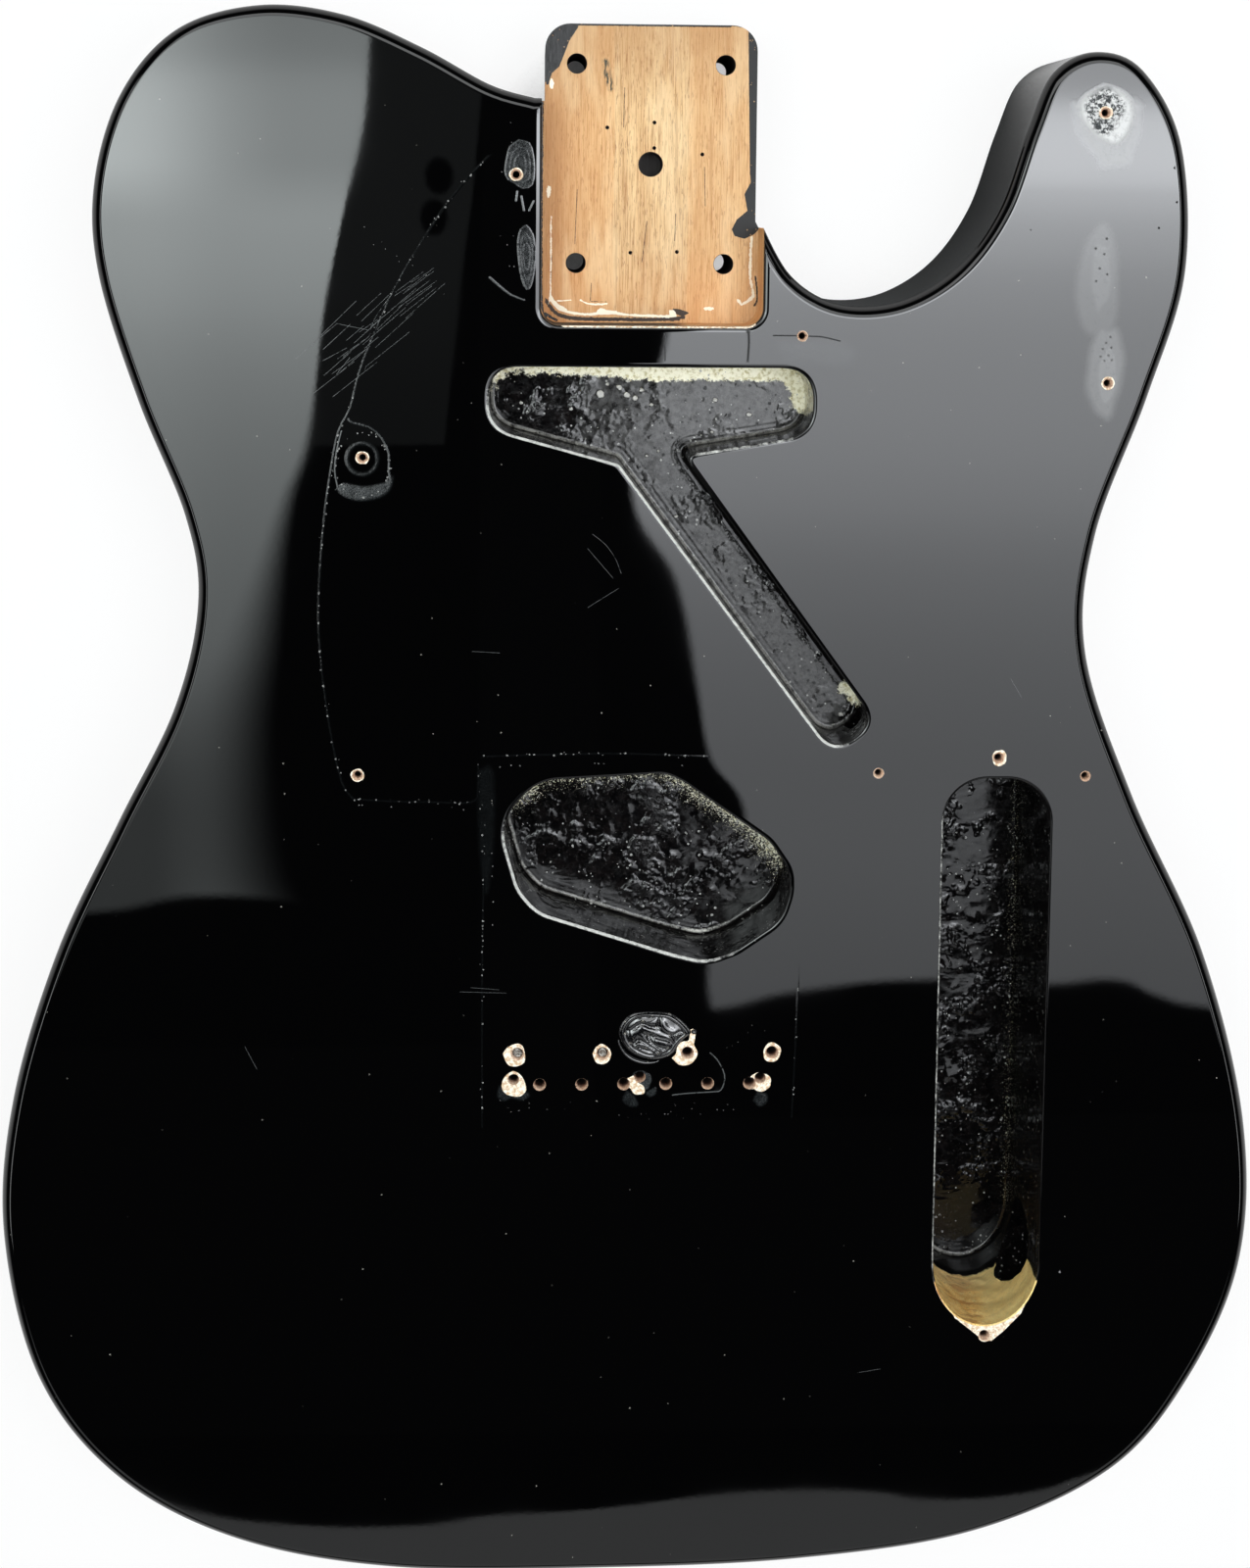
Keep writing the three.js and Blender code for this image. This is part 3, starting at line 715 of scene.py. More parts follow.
def rout_paint():
    """Thin black paint sprayed into the routs, lumpy on the floors and dusted along the edges."""
    m, t = material("rout_paint")
    dust, edge, near = t.value("dust"), t.value("edge"), t.value("near")
    x, y, z = t.axes()
    even = t.span(y, 12.0, 18.0) * t.span(x + (t.noise(0.1, 3, 0.6, 46) - 0.5) * 40.0, -16.0, -6.0)
    rubbed = (t.noise(1.1, 4, 0.7, 27) - 0.5) * 1.6
    even = even * t.span(t.value("grit") + rubbed, 0.4, 0.65, 1.0, 0.0)
    rugged = 1.0 - even * 0.72
    spots = even * (t.cells(0.6, 4) < t.span(t.noise(0.3, 2, 0.5, 28), 0.35, 0.65, 0.1, 0.34))
    fine, broad = (t.noise(2.4, 5, 0.8, 37) - 0.5) * 2.4, (t.noise(0.5, 5, 0.75, 39) - 0.5) * 1.6
    reach = dust + t.blend(z < T - 18.7, broad, fine)
    cover = t.span(reach, 0.55, 0.72) * t.span(dust, 0.02, 0.25)
    thick = t.span(t.noise(0.14, 3, 0.6, 40), 0.42, 0.62, 0.14, 0.3)
    crumbs = (t.cells(0.8, 5) < thick) * t.span(t.noise(1.1, 1, 0.5, 47), 0.4, 0.6)
    clod = t.span(t.value("bare"), 0.25, 0.6)
    # Pale lines at the feet of the walls: wear, and painted highlight
    wear_and_highlight = (edge * t.span(t.noise(0.6, 5, 0.75, 35), 0.36, 0.58)).clamped()
    cream = t.mix(t.span(t.noise(0.9, 5, 0.7, 38), 0.36, 0.54), srgb(196, 186, 140), srgb(250, 246, 224))
    colour = t.coats(
        (0.0012, 0.0011, 0.0013), (t.span(t.noise(0.35, 6, 0.75, 34), 0.42, 0.72), (0.007, 0.0055, 0.0055)),
        (even * t.span(t.noise(0.6, 6, 0.8, 49), 0.36, 0.6, 0.0, 1.0), (0.055, 0.054, 0.053)),
        (t.span(t.noise(1.6, 6, 0.8, 36, twist=1.0), 0.56, 0.66) * 0.3, (0.1, 0.095, 0.09)),
        (spots, (0.001, 0.001, 0.001)), (cover, cream), (crumbs * 0.8, (0.42, 0.42, 0.4)),
        (clod, (0.5, 0.49, 0.46)), (wear_and_highlight, (0.6, 0.59, 0.54)))
    rough = t.blend(t.highest(t.highest(cover, wear_and_highlight), clod, spots * 0.5),
                    t.span(t.noise(0.5, 4, 0.65, 32), 0.35, 0.65, 0.05, 0.16), 0.8)
    patchy = rugged * t.span(t.noise(0.11, 3, 0.6, 48), 0.52, 0.65)
    lumps = t.noise((0.1, 0.2, 0.2), 2, 0.45, 31, twist=0.7, turn=(0, 0, 0.5))
    tooling = t.math("SINE", near * 4.6) * t.span(near, 5.0, 2.0)
    normal = t.bumps((lumps * rugged, 0.24), (t.noise(0.5, 2, 0.5, 29) * rugged, 0.022),
                     (patchy * t.span(t.cells(0.45, 3), 0.15, 0.4), 0.28), (tooling, 0.008),
                     (patchy * t.noise(2.0, 3, 0.6, 33), 0.05))
    return t.finish(m, Base_Color=colour, Roughness=rough, Normal=normal, Specular_IOR_Level=0.38)


def wood(name, pale, deep, dark, paint):
    """Bare wood with its grain along Y, and what paint(tree, colour, roughness) lays over it."""
    m, t = material(name)
    wave = t.noise((0.03, 0.008, 0.03), 2, 0.5, 41)
    bands = t.noise((0.4, 0.009, 0.4), 4, 0.6, 42, twist=0.3)
    fibre = t.noise((3.2, 0.09, 3.2), 5, 0.75, 43)
    pores = t.noise((3.6, 0.45, 3.6), 2, 0.5, 44)
    streak = t.noise((1.1, 0.03, 1.1), 3, 0.6, 45)
    colour = t.coats(
        pale, (t.span(bands, 0.3, 0.7), deep), (t.span(wave, 0.35, 0.65, 0, 0.35), dark),
        (t.span(fibre, 0.46, 0.62, 0, 0.8), dark), (t.span(streak, 0.56, 0.68, 0, 0.5), dark),
        (t.span(pores, 0.58, 0.66, 0, 0.6), srgb(132, 84, 46)))
    colour, rough, over = paint(t, colour, t.span(fibre, 0.3, 0.7, 0.5, 0.68))
    normal = t.bumps((fibre * (1.0 - over), 0.12), (pores, 0.03))
    return t.finish(m, Base_Color=colour, Roughness=rough, Normal=normal)


def pocket_paint(t, colour, rough):
    """Board tones, stains, paint left along the edges and pale broken sealer."""
    x, y, z = t.axes()
    across = x + (t.noise((0.5, 0.05, 0.5), 2, 0.5, 50) - 0.5) * 0.8
    fleck = (t.noise(1.2, 4, 0.7, 51) - 0.5) * 1.5
    ragged = (t.noise(0.7, 4, 0.7, 54) - 0.5) * 2.0
    soak = t.value("haze") * t.span(t.noise((2.0, 0.35, 2.0), 4, 0.7, 52), 0.42, 0.58)
    over = t.span(t.value("paint") + fleck * 0.5, 0.45, 0.52)
    over = t.highest(over, t.span(z + fleck, T - 2.0, T - 1.6))
    over = over * (1.0 - (t.cells(1.1, 8) < 0.2) * 0.6)
    wall = t.span(z, POCKET_Z + 0.1, POCKET_Z + 0.4) * t.span(y, 128.2, 127.6)
    colour = t.coats(
        colour, (t.span(across, -6.6, -6.2, 0.3, 0.0), srgb(214, 148, 82)),
        (t.span(across, 12.5, 12.9, 0.0, 0.25), srgb(224, 160, 96)),
        (t.span(across, -10.0, -24.0, 0.0, 0.4), srgb(170, 116, 68)),
        (t.span(y, 176.0, 202.0, 0.0, 0.5), srgb(164, 114, 64)),
        (t.span(y, 148.0, 128.0, 0.0, 0.25), srgb(214, 140, 74)),
        (t.span(t.noise((0.12, 0.03, 0.12), 3, 0.6, 53), 0.45, 0.62, 0.0, 0.25), srgb(250, 226, 182)),
        # Dark lines are cracks, and painted shade along the foot of the bridge-side wall
        (soak, srgb(50, 52, 36)), (t.span(t.value("crack") + fleck, 0.35, 0.6), srgb(52, 36, 24)),
        (t.span(t.value("bare") + (ragged + fleck * 0.4), 0.42, 0.55), srgb(250, 240, 218)),
        (wall * t.span(x + ragged * 4.0, 12.0, 9.0), srgb(44, 32, 26)), (over, (0.0035, 0.0035, 0.004)))
    return colour, t.blend(over, rough, t.span(x, -5.0, 10.0, 0.22, 0.6)), over


def tail_paint(t, colour, rough):
    """Black paint on the foot and the flanks of the rough end wall."""
    x, y, z = t.axes()
    fleck = (t.noise(0.35, 4, 0.65, 55) - 0.5) * 2.4
    over = t.highest(t.span(z + fleck, 17.6, 17.0), t.span(y + fleck * 0.5, -125.6, -125.0))
    colour = t.coats(
        colour, (t.span(t.noise((0.12, 0.12, 0.5), 5, 0.7, 56), 0.5, 0.62, 0.0, 0.8), srgb(176, 116, 50)),
        (t.span(t.noise(0.8, 4, 0.7, 58), 0.58, 0.66, 0.0, 0.7), srgb(104, 84, 38)),
        (t.span(z + fleck * 3.0, 29.0, 20.0, 0.0, 0.3), srgb(226, 208, 164)),
        (t.span(x, 91.0, 99.0, 0.0, 0.55), srgb(255, 236, 160)), (over, (0.003, 0.003, 0.003)))
    return colour, t.blend(over, rough, 0.2), over


def hole_shade(t, colour, rough):
    """Painted shade in the drilled holes, darker with depth from just under the rim."""
    z = t.axes()[2]
    deep = z + (t.noise(0.9, 3, 0.6, 57) - 0.5) * 1.5
    colour = t.coats(colour, ((z > POCKET_Z + 1) * t.span(deep, T - 0.6, T - 2.6), srgb(78, 46, 32)),
                     (t.span(deep, T - 2.0, T - 3.6), srgb(24, 13, 9)))
    return colour, rough, 0.0


def metal(name, tint, rough, scale):
    m, t = material(name)
    wear = t.noise(scale, 5, 0.7, 61)
    return t.finish(m, Base_Color=t.mix(t.span(wear, 0.4, 0.7), tint, tuple(c * 0.45 for c in tint)), Metallic=1.0,
                    Roughness=t.span(wear, 0.3, 0.7, rough, rough + 0.25),
                    Normal=t.bumps((t.noise(scale * 3, 3, 0.6, 62), 0.02)))


def filler():
    m, t = material("black_filler")
    # Pale patches, partly dust and partly painted highlight
    dust_and_highlight = t.span(t.noise(0.6, 5, 0.7, 72), 0.6, 0.66)
    return t.finish(m, Base_Color=t.mix(dust_and_highlight, (0.004, 0.004, 0.0045), (0.34, 0.32, 0.27)),
                    Roughness=t.span(t.noise(1.2, 3, 0.6, 73), 0.3, 0.7, 0.05, 0.16),
                    Normal=t.bumps((t.noise(1.6, 3, 0.6, 71), 0.02)), Specular_IOR_Level=1.0)


LACQUER, ROUT, POCKET, TAIL, HOLE = range(5)
finishes = [
    lacquer(),
    rout_paint(),
    wood("pocket_wood", srgb(234, 200, 148), srgb(218, 177, 124), srgb(164, 114, 66), pocket_paint),
    wood("tail_wood", srgb(255, 236, 166), srgb(255, 212, 124), srgb(214, 146, 62), tail_paint),
    wood("hole_wood", srgb(246, 224, 200), srgb(232, 198, 170), srgb(190, 146, 118), hole_shade),
]

# The body: blank, less what the router and the drill took
ROUTS = [  # (outline, depth, lip, radius at the foot, rows of the wall, dust, how far it drifts)
    (neck_rout_outline(), NECK_ROUT_D, (1.1, 0.4), 1.2, 1, 1.7, 4.8),
    (bridge_rout_outline(), BRIDGE_ROUT_D, (1.2, 0.4), 1.5, 1, 0.75, 11),
    (control_outline(), CONTROL_D, (0.7, 0.3), 1.2, 22, 0.5, 4),
]
WIRE_R, WIRE_TOP, WIRE_END = 4, T - 12, T - 17
BUTTON_R, BUTTON_L, OUT = 1.5, 22, 6
BOUT, SLANT = np.array((-0.354 * WIDTH, 0.485 * LENGTH)), 0.18 * math.pi
body = link("blank", *blank(), finishes)
subtract(body, [
    pit(pocket_outline(), POCKET_D, (1.5, 0.5), 0.15, POCKET, rows=6),
    *[pit(loop, depth, lip, foot, ROUT, rows) for loop, depth, lip, foot, rows, _, _ in ROUTS],
    *[drilled(x, y, (0.85, 14), (0.85, 0.9), (1.2, 0.25), (1.4, 0)) for x, y in GUARD],
    drilled(*PLATE[0], (0.9, 14), (0.9, 0.9), (1.35, 0.2), (1.5, 0)),
    *[drilled(x, ROW_Y, (ROW_R, ROW_D), (ROW_R, 0.8), (ROW_R + 0.3, 0.2), (ROW_R + 0.45, 0)) for x in ROW],
    *[drilled(x, y, (1.15, 20), (1.15, 3), (1.35, 0.6), (1.5, 0)) for x, y in TORN_HOLES],
])


def button_hole(x, y, inwards):
    """The hole of a strap button, in the middle of the edge at (x, y)."""
    at, way = np.array((x, y)), np.array(inwards)
    return bore((*(at - OUT * way), T / 2), (*(at + BUTTON_L * way), T / 2), BUTTON_R, HOLE, 20)


subtract(body, [
    bore((CONTROL_X + 5, JACK_Y, T / 2), (WIDTH / 2 + OUT, JACK_Y, T / 2), JACK_R, ROUT, 48),
    *[hole(x, STRING_Y, [(1.1, BELOW), (1.1, T - 3.4), (STRING_R - 0.2, T - 1), (STRING_R - 0.05, T - 0.2),
                         (STRING_R + 0.05, T), (STRING_R + 0.05, ABOVE)]) for x in STRINGS],
    drilled(*PLATE[1], (1.05, 14), (1.05, 0.7), (1.5, 0)),
    hole(NECK_X, SCREW_MID, [(3, POCKET_Z - 9), (3, POCKET_Z - 0.3), (3.2, POCKET_Z), (3.2, T)], 36),
    *[hole(NECK_X + i * SCREW_X / 2, SCREW_MID + j * SCREW_Y / 2,
           [(2.5, BELOW), (2.5, POCKET_Z - 0.2), (2.6, POCKET_Z), (2.6, T)]) for i in (-1, 1) for j in (-1, 1)],
    *[hole(x, y, [(0.4, POCKET_Z - 6), (0.5, POCKET_Z), (0.5, T)], 12)
      for x, y in ((3.9, 177.2), (3.9, 170.7), (16.3, 169.2), (-8.2, 175.8), (-2.0, 143.9), (10.0, 144.2))],
    button_hole(NECK_X, -LENGTH / 2, (0, 1)),
    button_hole(*BOUT, (math.sin(SLANT), -math.cos(SLANT))),
])
subtract(body, [
    *[hole(x, STRING_Y, [(FERRULE_R + FIT, BELOW), (FERRULE_R + FIT, FERRULE_SINK + FERRULE_L)], 40)
      for x in STRINGS],
    bore((*CHANNEL_END, WIRE_TOP), (CONTROL_X, CONTROL_TOP - CONTROL_R, WIRE_END), WIRE_R, ROUT, 24),
    bore((NECK_X + BRIDGE_ROUT_W / 4, BRIDGE_ROUT_Y, WIRE_TOP), (CONTROL_X, BRIDGE_ROUT_Y - 4, WIRE_END), WIRE_R,
         ROUT, 24),
])


def scratches(points, half=0.13, value=0.5):
    return [Line("scratch", line, half, value, smooth=len(line) > 2) for line in points]


def hatching():
    rng = np.random.default_rng(6)
    out = []
    for _ in range(34):
        s, across = rng.uniform(0, 1), rng.normal(0, 3.2)
        mid = np.array((-79 + 27 * s - 0.6 * across, 115 + 21 * s + 0.8 * across))
        half = rng.uniform(2.0, 7.5) * np.array((0.77, 0.64)) + rng.normal(0, 0.25, 2)
        out.append([mid - half, mid + half])
    return out


hatch = scratches(hatching(), 0.08, 0.5)
upper_oval = [(-30.6, 171.9), (-28.2, 171.2), (-27.2, 168.3), (-26.9, 164.2), (-27.4, 161), (-29.6, 160),
              (-31.5, 161.2), (-33.2, 162.2), (-34, 164.3), (-33.5, 167.7), (-32.8, 170.2)]
lower_oval = [(-28.8, 150.8), (-27.3, 148.8), (-26.6, 144.7), (-26.8, 139.8), (-27.5, 136.1), (-28.5, 134.9),
              (-29.7, 137.4), (-30.5, 142.2), (-30.7, 147.1), (-30, 149.8)]


def ringed(loop, value):
    """A hazy patch with a paler line round it and another inside."""
    mid = np.mean(loop, 0)
    rings = [[tuple(mid + (np.array(p) - mid) * k) for p in loop + loop[:1]] for k in (1, 0.72, 0.42)]
    return [Patch("haze", loop, 0.7, value), *[Line("haze", r, 0.28, value + 0.25) for r in rings]]


horn_core = [(116.2 + 5.0 * math.cos(a) * (1 + 0.1 * math.sin(3 * a)),
              180.6 + 5.6 * math.sin(a) * (1 + 0.08 * math.cos(4 * a))) for a in np.radians(np.arange(0, 360, 20))]
guard_line = [(-38.1, 167.9), (-45.1, 160.4), (-52.2, 150.6), (-61.2, 135.4), (-69.5, 116), (-72.5, 104.9),
              (-75.4, 99), (-77.4, 89.1), (-79.4, 74.2), (-80.7, 54.2), (-80, 39.1), (-78.1, 24), (-75.9, 12.6),
              (-74.2, 7.5), (-71.7, 4.4)]
foot_line = [(-71.7, 4.8), (-62.3, 4.2), (-52.3, 4.0), (-42, 3.9), (-40.4, 7), (-40.4, 14)]
plate_lines = [[(-39.1, -82), (-39.2, -42.8), (-39, -16.9), (-39.4, 3)],
               [(-39.4, 15.8), (-22.4, 16.3), (-2.4, 16.5), (18.2, 15.7)], [(42.7, -38.1), (42.1, -59), (41.4, -80)]]
face_marks = [
    Line("haze", guard_line, 0.4, 0.16),
    *[Line("haze", line, 0.35, 0.14) for line in (foot_line, *plate_lines)],
    Line("grit", guard_line, 1.0, 1.1),
    Line("grit", foot_line, 0.9, 1.0),
    Line("grit", [(-71.7, 3.4), (-62.3, 2.6), (-52.3, 2.3), (-44, 2.1), (-40.2, -2)], 0.5, 0.8),
    Line("grit", plate_lines[0], 1.0, 1.0),
    Line("grit", [(-36.5, -30), (-36.6, 1), (-36.9, 13.8)], 0.8, 0.9),
    Patch("haze", [(-40.2, 12), (-36.6, 12), (-36.4, -6), (-38.2, -20), (-40, -6)], 1.4, 0.15),
    *[Line("grit", line, 3.2, 0.55) for line in (
        [(-40, -61), (-36, -75), (-20, -77), (0, -79), (24, -77), (38, -74)], [(-70, 150), (-58, 141), (-46, 133)],
        [(-32, 176), (-35, 160), (-32, 140)], [(24, -62), (30, -56), (40, -58)])],
    Line("grit", plate_lines[1], 0.9, 1.1),
    Line("grit", [(-36.2, 13.2), (-22.4, 13.7), (-2.4, 13.9), (15, 13.3)], 0.6, 0.9),
    Line("grit", plate_lines[2], 0.9, 0.9),
    *ringed(upper_oval, 0.45),
    *ringed(lower_oval, 0.45),
    Line("haze", [(-37.8, 137.8), (-35.3, 135.6), (-32.4, 133.4), (-29.2, 132.2)], 0.3, 1.4),
    *[Line("haze", line, 0.25, 1.2, smooth=False)
      for line in ([(-31, 159.3), (-31.3, 156.8)], [(-30, 158.1), (-29.3, 154.4)], [(-28.1, 154.4), (-26.9, 156.9)])],
    Patch("haze", [(-75.9, 84.1), (-74, 85.6), (-69.1, 84.9), (-63.7, 86), (-62.0, 87.6), (-62.7, 84.4), (-65.2, 82.4),
                   (-69.6, 81.5), (-73.5, 82.3)], 0.9, 0.6),
    Line("grit", arc(-69.5, 90.5, 6.9, 8.3, 0, 360, 18), 1.3, 1.2),
    Line("haze", arc(-69.6, 92, 3.8, 4, 0, 360, 15), 0.7, 0.35),
    Line("haze", [(-73, 102), (-71.5, 101), (-67.6, 100), (-64.6, 97.3), (-62.9, 93.4), (-62.9, 89.1), (-62.4, 86)],
         0.35, 0.6),
    Line("haze", [(-74.7, 99), (-75.9, 94), (-76.4, 89.1), (-75.7, 84.9)], 0.3, 0.5),
    Patch("haze", [(34.9, 121.2), (41, 121.6), (51.1, 121.5), (54.5, 118.5), (51.7, 115.4), (43.7, 116.4), (36.2, 117)],
          2.4, 0.3),
    *[disc("chalk", x, y, rx, ry, 2.2, value, rough=0.12, seed=seed) for x, y, rx, ry, value, seed in (
        (115.8, 137, 5.4, 14.5, 0.06, 34), (116.4, 139, 3.2, 9, 0.09, 37), (118.2, 115.2, 4.7, 11.5, 0.1, 35),
        (118.8, 114, 3.1, 7.5, 0.14, 36))],
    *[disc("crack", x, y, 0.3, 0.3, 0.2, seed=70 + i, sides=10) for i, (x, y) in enumerate((
        (118.2, 122.4), (119.6, 121.2), (117.4, 120.8), (118.9, 119.2), (119.8, 118.0), (117.9, 117.8), (119.3, 123.9),
        (116.9, 118.9), (114.9, 146.2), (117.1, 144.8), (116.0, 141.2), (118.0, 139.7), (115.2, 138.0), (117.6, 148.7),
        (134.4, 166.6), (135.2, 158.0), (130.8, 151.5)))],
    Patch("chalk", [(115.8, 186.8), (119.5, 185.8), (122.6, 183.4), (123.4, 179.5), (122.3, 175.4), (119.7, 172.4),
                    (116.4, 173.1), (113.1, 175.3), (110.6, 178.4), (109.7, 181.8), (111.6, 184.5)], 2.2, 0.95),
    Patch("haze", horn_core, 1.2, 1.0),
    Patch("chalk", [(108.2, 182.5), (109.2, 176.2), (112.3, 171.8), (115.1, 168.9), (115.9, 166.6), (119.1, 167),
                    (122.4, 167.6), (123.4, 171.5), (124.8, 175.4), (124.9, 180), (123.8, 183.5)], 2.6, 0.2),
    *[disc("bare", x, y, 1.7, 1.7, 0.2, seed=40 + i, rough=0.1, sides=32) for i, (x, y) in enumerate(GUARD[:6])
      if i != 3],
    disc("bare", PLATE[0][0] + 0.2, PLATE[0][1], 1.9, 2.1, 0.25, seed=50, rough=0.14),
    disc("bare", PLATE[1][0] + 0.2, PLATE[1][1], 1.9, 1.8, 0.25, 0.8, seed=51, rough=0.14),
    Patch("bare", [(-33.8, -62.4), (-32.7, -60.9), (-30.6, -59.8), (-28.9, -60.2), (-28.1, -62.4), (-28.3, -64.8),
                   (-30.3, -65.8), (-32.5, -65.3)], 0.25),
    Patch("bare", [(-10.6, -62.5), (-9.8, -61.0), (-8.2, -60.0), (-6.2, -61.4), (-5.8, -63.1), (-6.7, -64.9),
                   (-8.3, -65.4), (-9.8, -64.7)], 0.25),
    Patch("bare", [(10, -63.9), (11, -62.7), (11.5, -60.4), (12.8, -59.5), (14.2, -59.3), (14.6, -57.6),
                   (14.9, -56.2), (16.0, -56.6), (15.9, -58.8), (15.7, -60.4), (16.6, -62.4), (16.1, -64.2),
                   (14.6, -65.6), (12.1, -65.8)], 0.25),
    disc("bare", ROW[3], ROW_Y, 2.35, 2.55, 0.25, seed=13),
    Patch("bare", [(-31.1, -67.0), (-29.4, -67.9), (-28.1, -70.0), (-27.8, -72.3), (-29.2, -73.8), (-31.0, -73.8),
                   (-32.9, -73.2), (-34.0, -71.6), (-33.8, -69.6), (-32.7, -68)], 0.3),
    Patch("haze", [(-34.6, -71), (-35, -73.8), (-33.4, -75), (-31.6, -74.2), (-28.6, -74.8), (-27.2, -73)], 0.8, 0.6),
    Patch("bare", [(-1.4, -69.2), (0.2, -68.6), (1.0, -70.2), (2.4, -71.1), (3.0, -72.4), (2.6, -73.4), (0.4, -73.5),
                   (-0.7, -72), (-1.8, -71)], 0.3),
    disc("haze", 2.0, -70.0, 2.7, 2.6, 0.5, 1.0, seed=22),
    Patch("haze", [(-1.6, -72.5), (0.2, -74), (1.2, -76.4), (-1, -76.6), (-2.6, -75)], 0.8, 0.5),
    Patch("haze", [(3.2, -73.2), (5.6, -71.8), (5.9, -73.4), (4.2, -74.2)], 0.5, 0.6),
    disc("bare", 33.1, TORN_Y - 1.1, 2.7, 2.6, 0.25, seed=24, rough=0.12),
    Patch("haze", [(31.4, -75.4), (32.2, -73.6), (34.6, -73.8), (34.8, -75.8), (33, -77)], 0.8, 0.5),
    Patch("bare", [(80.9, -123.9), (82.1, -129.8), (85.4, -135.2), (89.4, -138.4), (93, -141.4), (95.4, -141.7),
                   (98.8, -138.8), (103.1, -134.2), (105.6, -128.2), (106, -124.4), (103, -126), (93, -134),
                   (83, -125)], 0.25, 0.85, smooth=False),
    Line("crack", [(33.5, 123.7), (38.9, 123.7), (42.6, 123.6), (46.1, 123.4), (50.5, 122.4)], 0.28),
    Line("crack", [(27.2, 125.4), (27.4, 121.8), (27.2, 117.8), (27.1, 113.8)], 0.45),
    Line("crack", [(6.2, 124.4), (6.3, 117.2)], 0.22, smooth=False),
    *scratches([[(-11.6, 73.1), (-8.3, 70.4), (-5.8, 66.9), (-4.3, 63.1)],
                [(-12.8, 69.4), (-9.8, 65.9), (-6.3, 61.8)],
                [(-12.7, 54.3), (-4.8, 59.3)], [(-62.2, 133.4), (-66, 128), (-67.5, 124.6)], [(-76, 126), (-68, 124.4)],
                [(-42, 43), (-35, 42.6)], [(96, 36), (99, 31)], [(-100, -60), (-97, -66)], [(60, -150), (66, -149)],
                [(-45, -45.9), (-33, -46.3)], [(-42, -44.8), (-34.9, -45.4)]], 0.08),
    *scratches([[(19.9, -62.6), (21.6, -64.2), (23.3, -67.2), (23.8, -69.8), (22.8, -72.6), (21, -73.0), (14, -73.4),
                 (10.2, -73.8)]], 0.22),
    *hatch,
    *[disc("lift", x, y, r, r * 0.7, 0.7, -0.35, seed=60 + i, turn=50) for i, (x, y, r) in enumerate(
        ((-104.5, 27.0, 1.5), (126.5, -56.4, 1.8), (122.2, -74.7, 1.2), (113.6, -121.9, 1.2), (98.9, 151.4, 1.0)))],
]
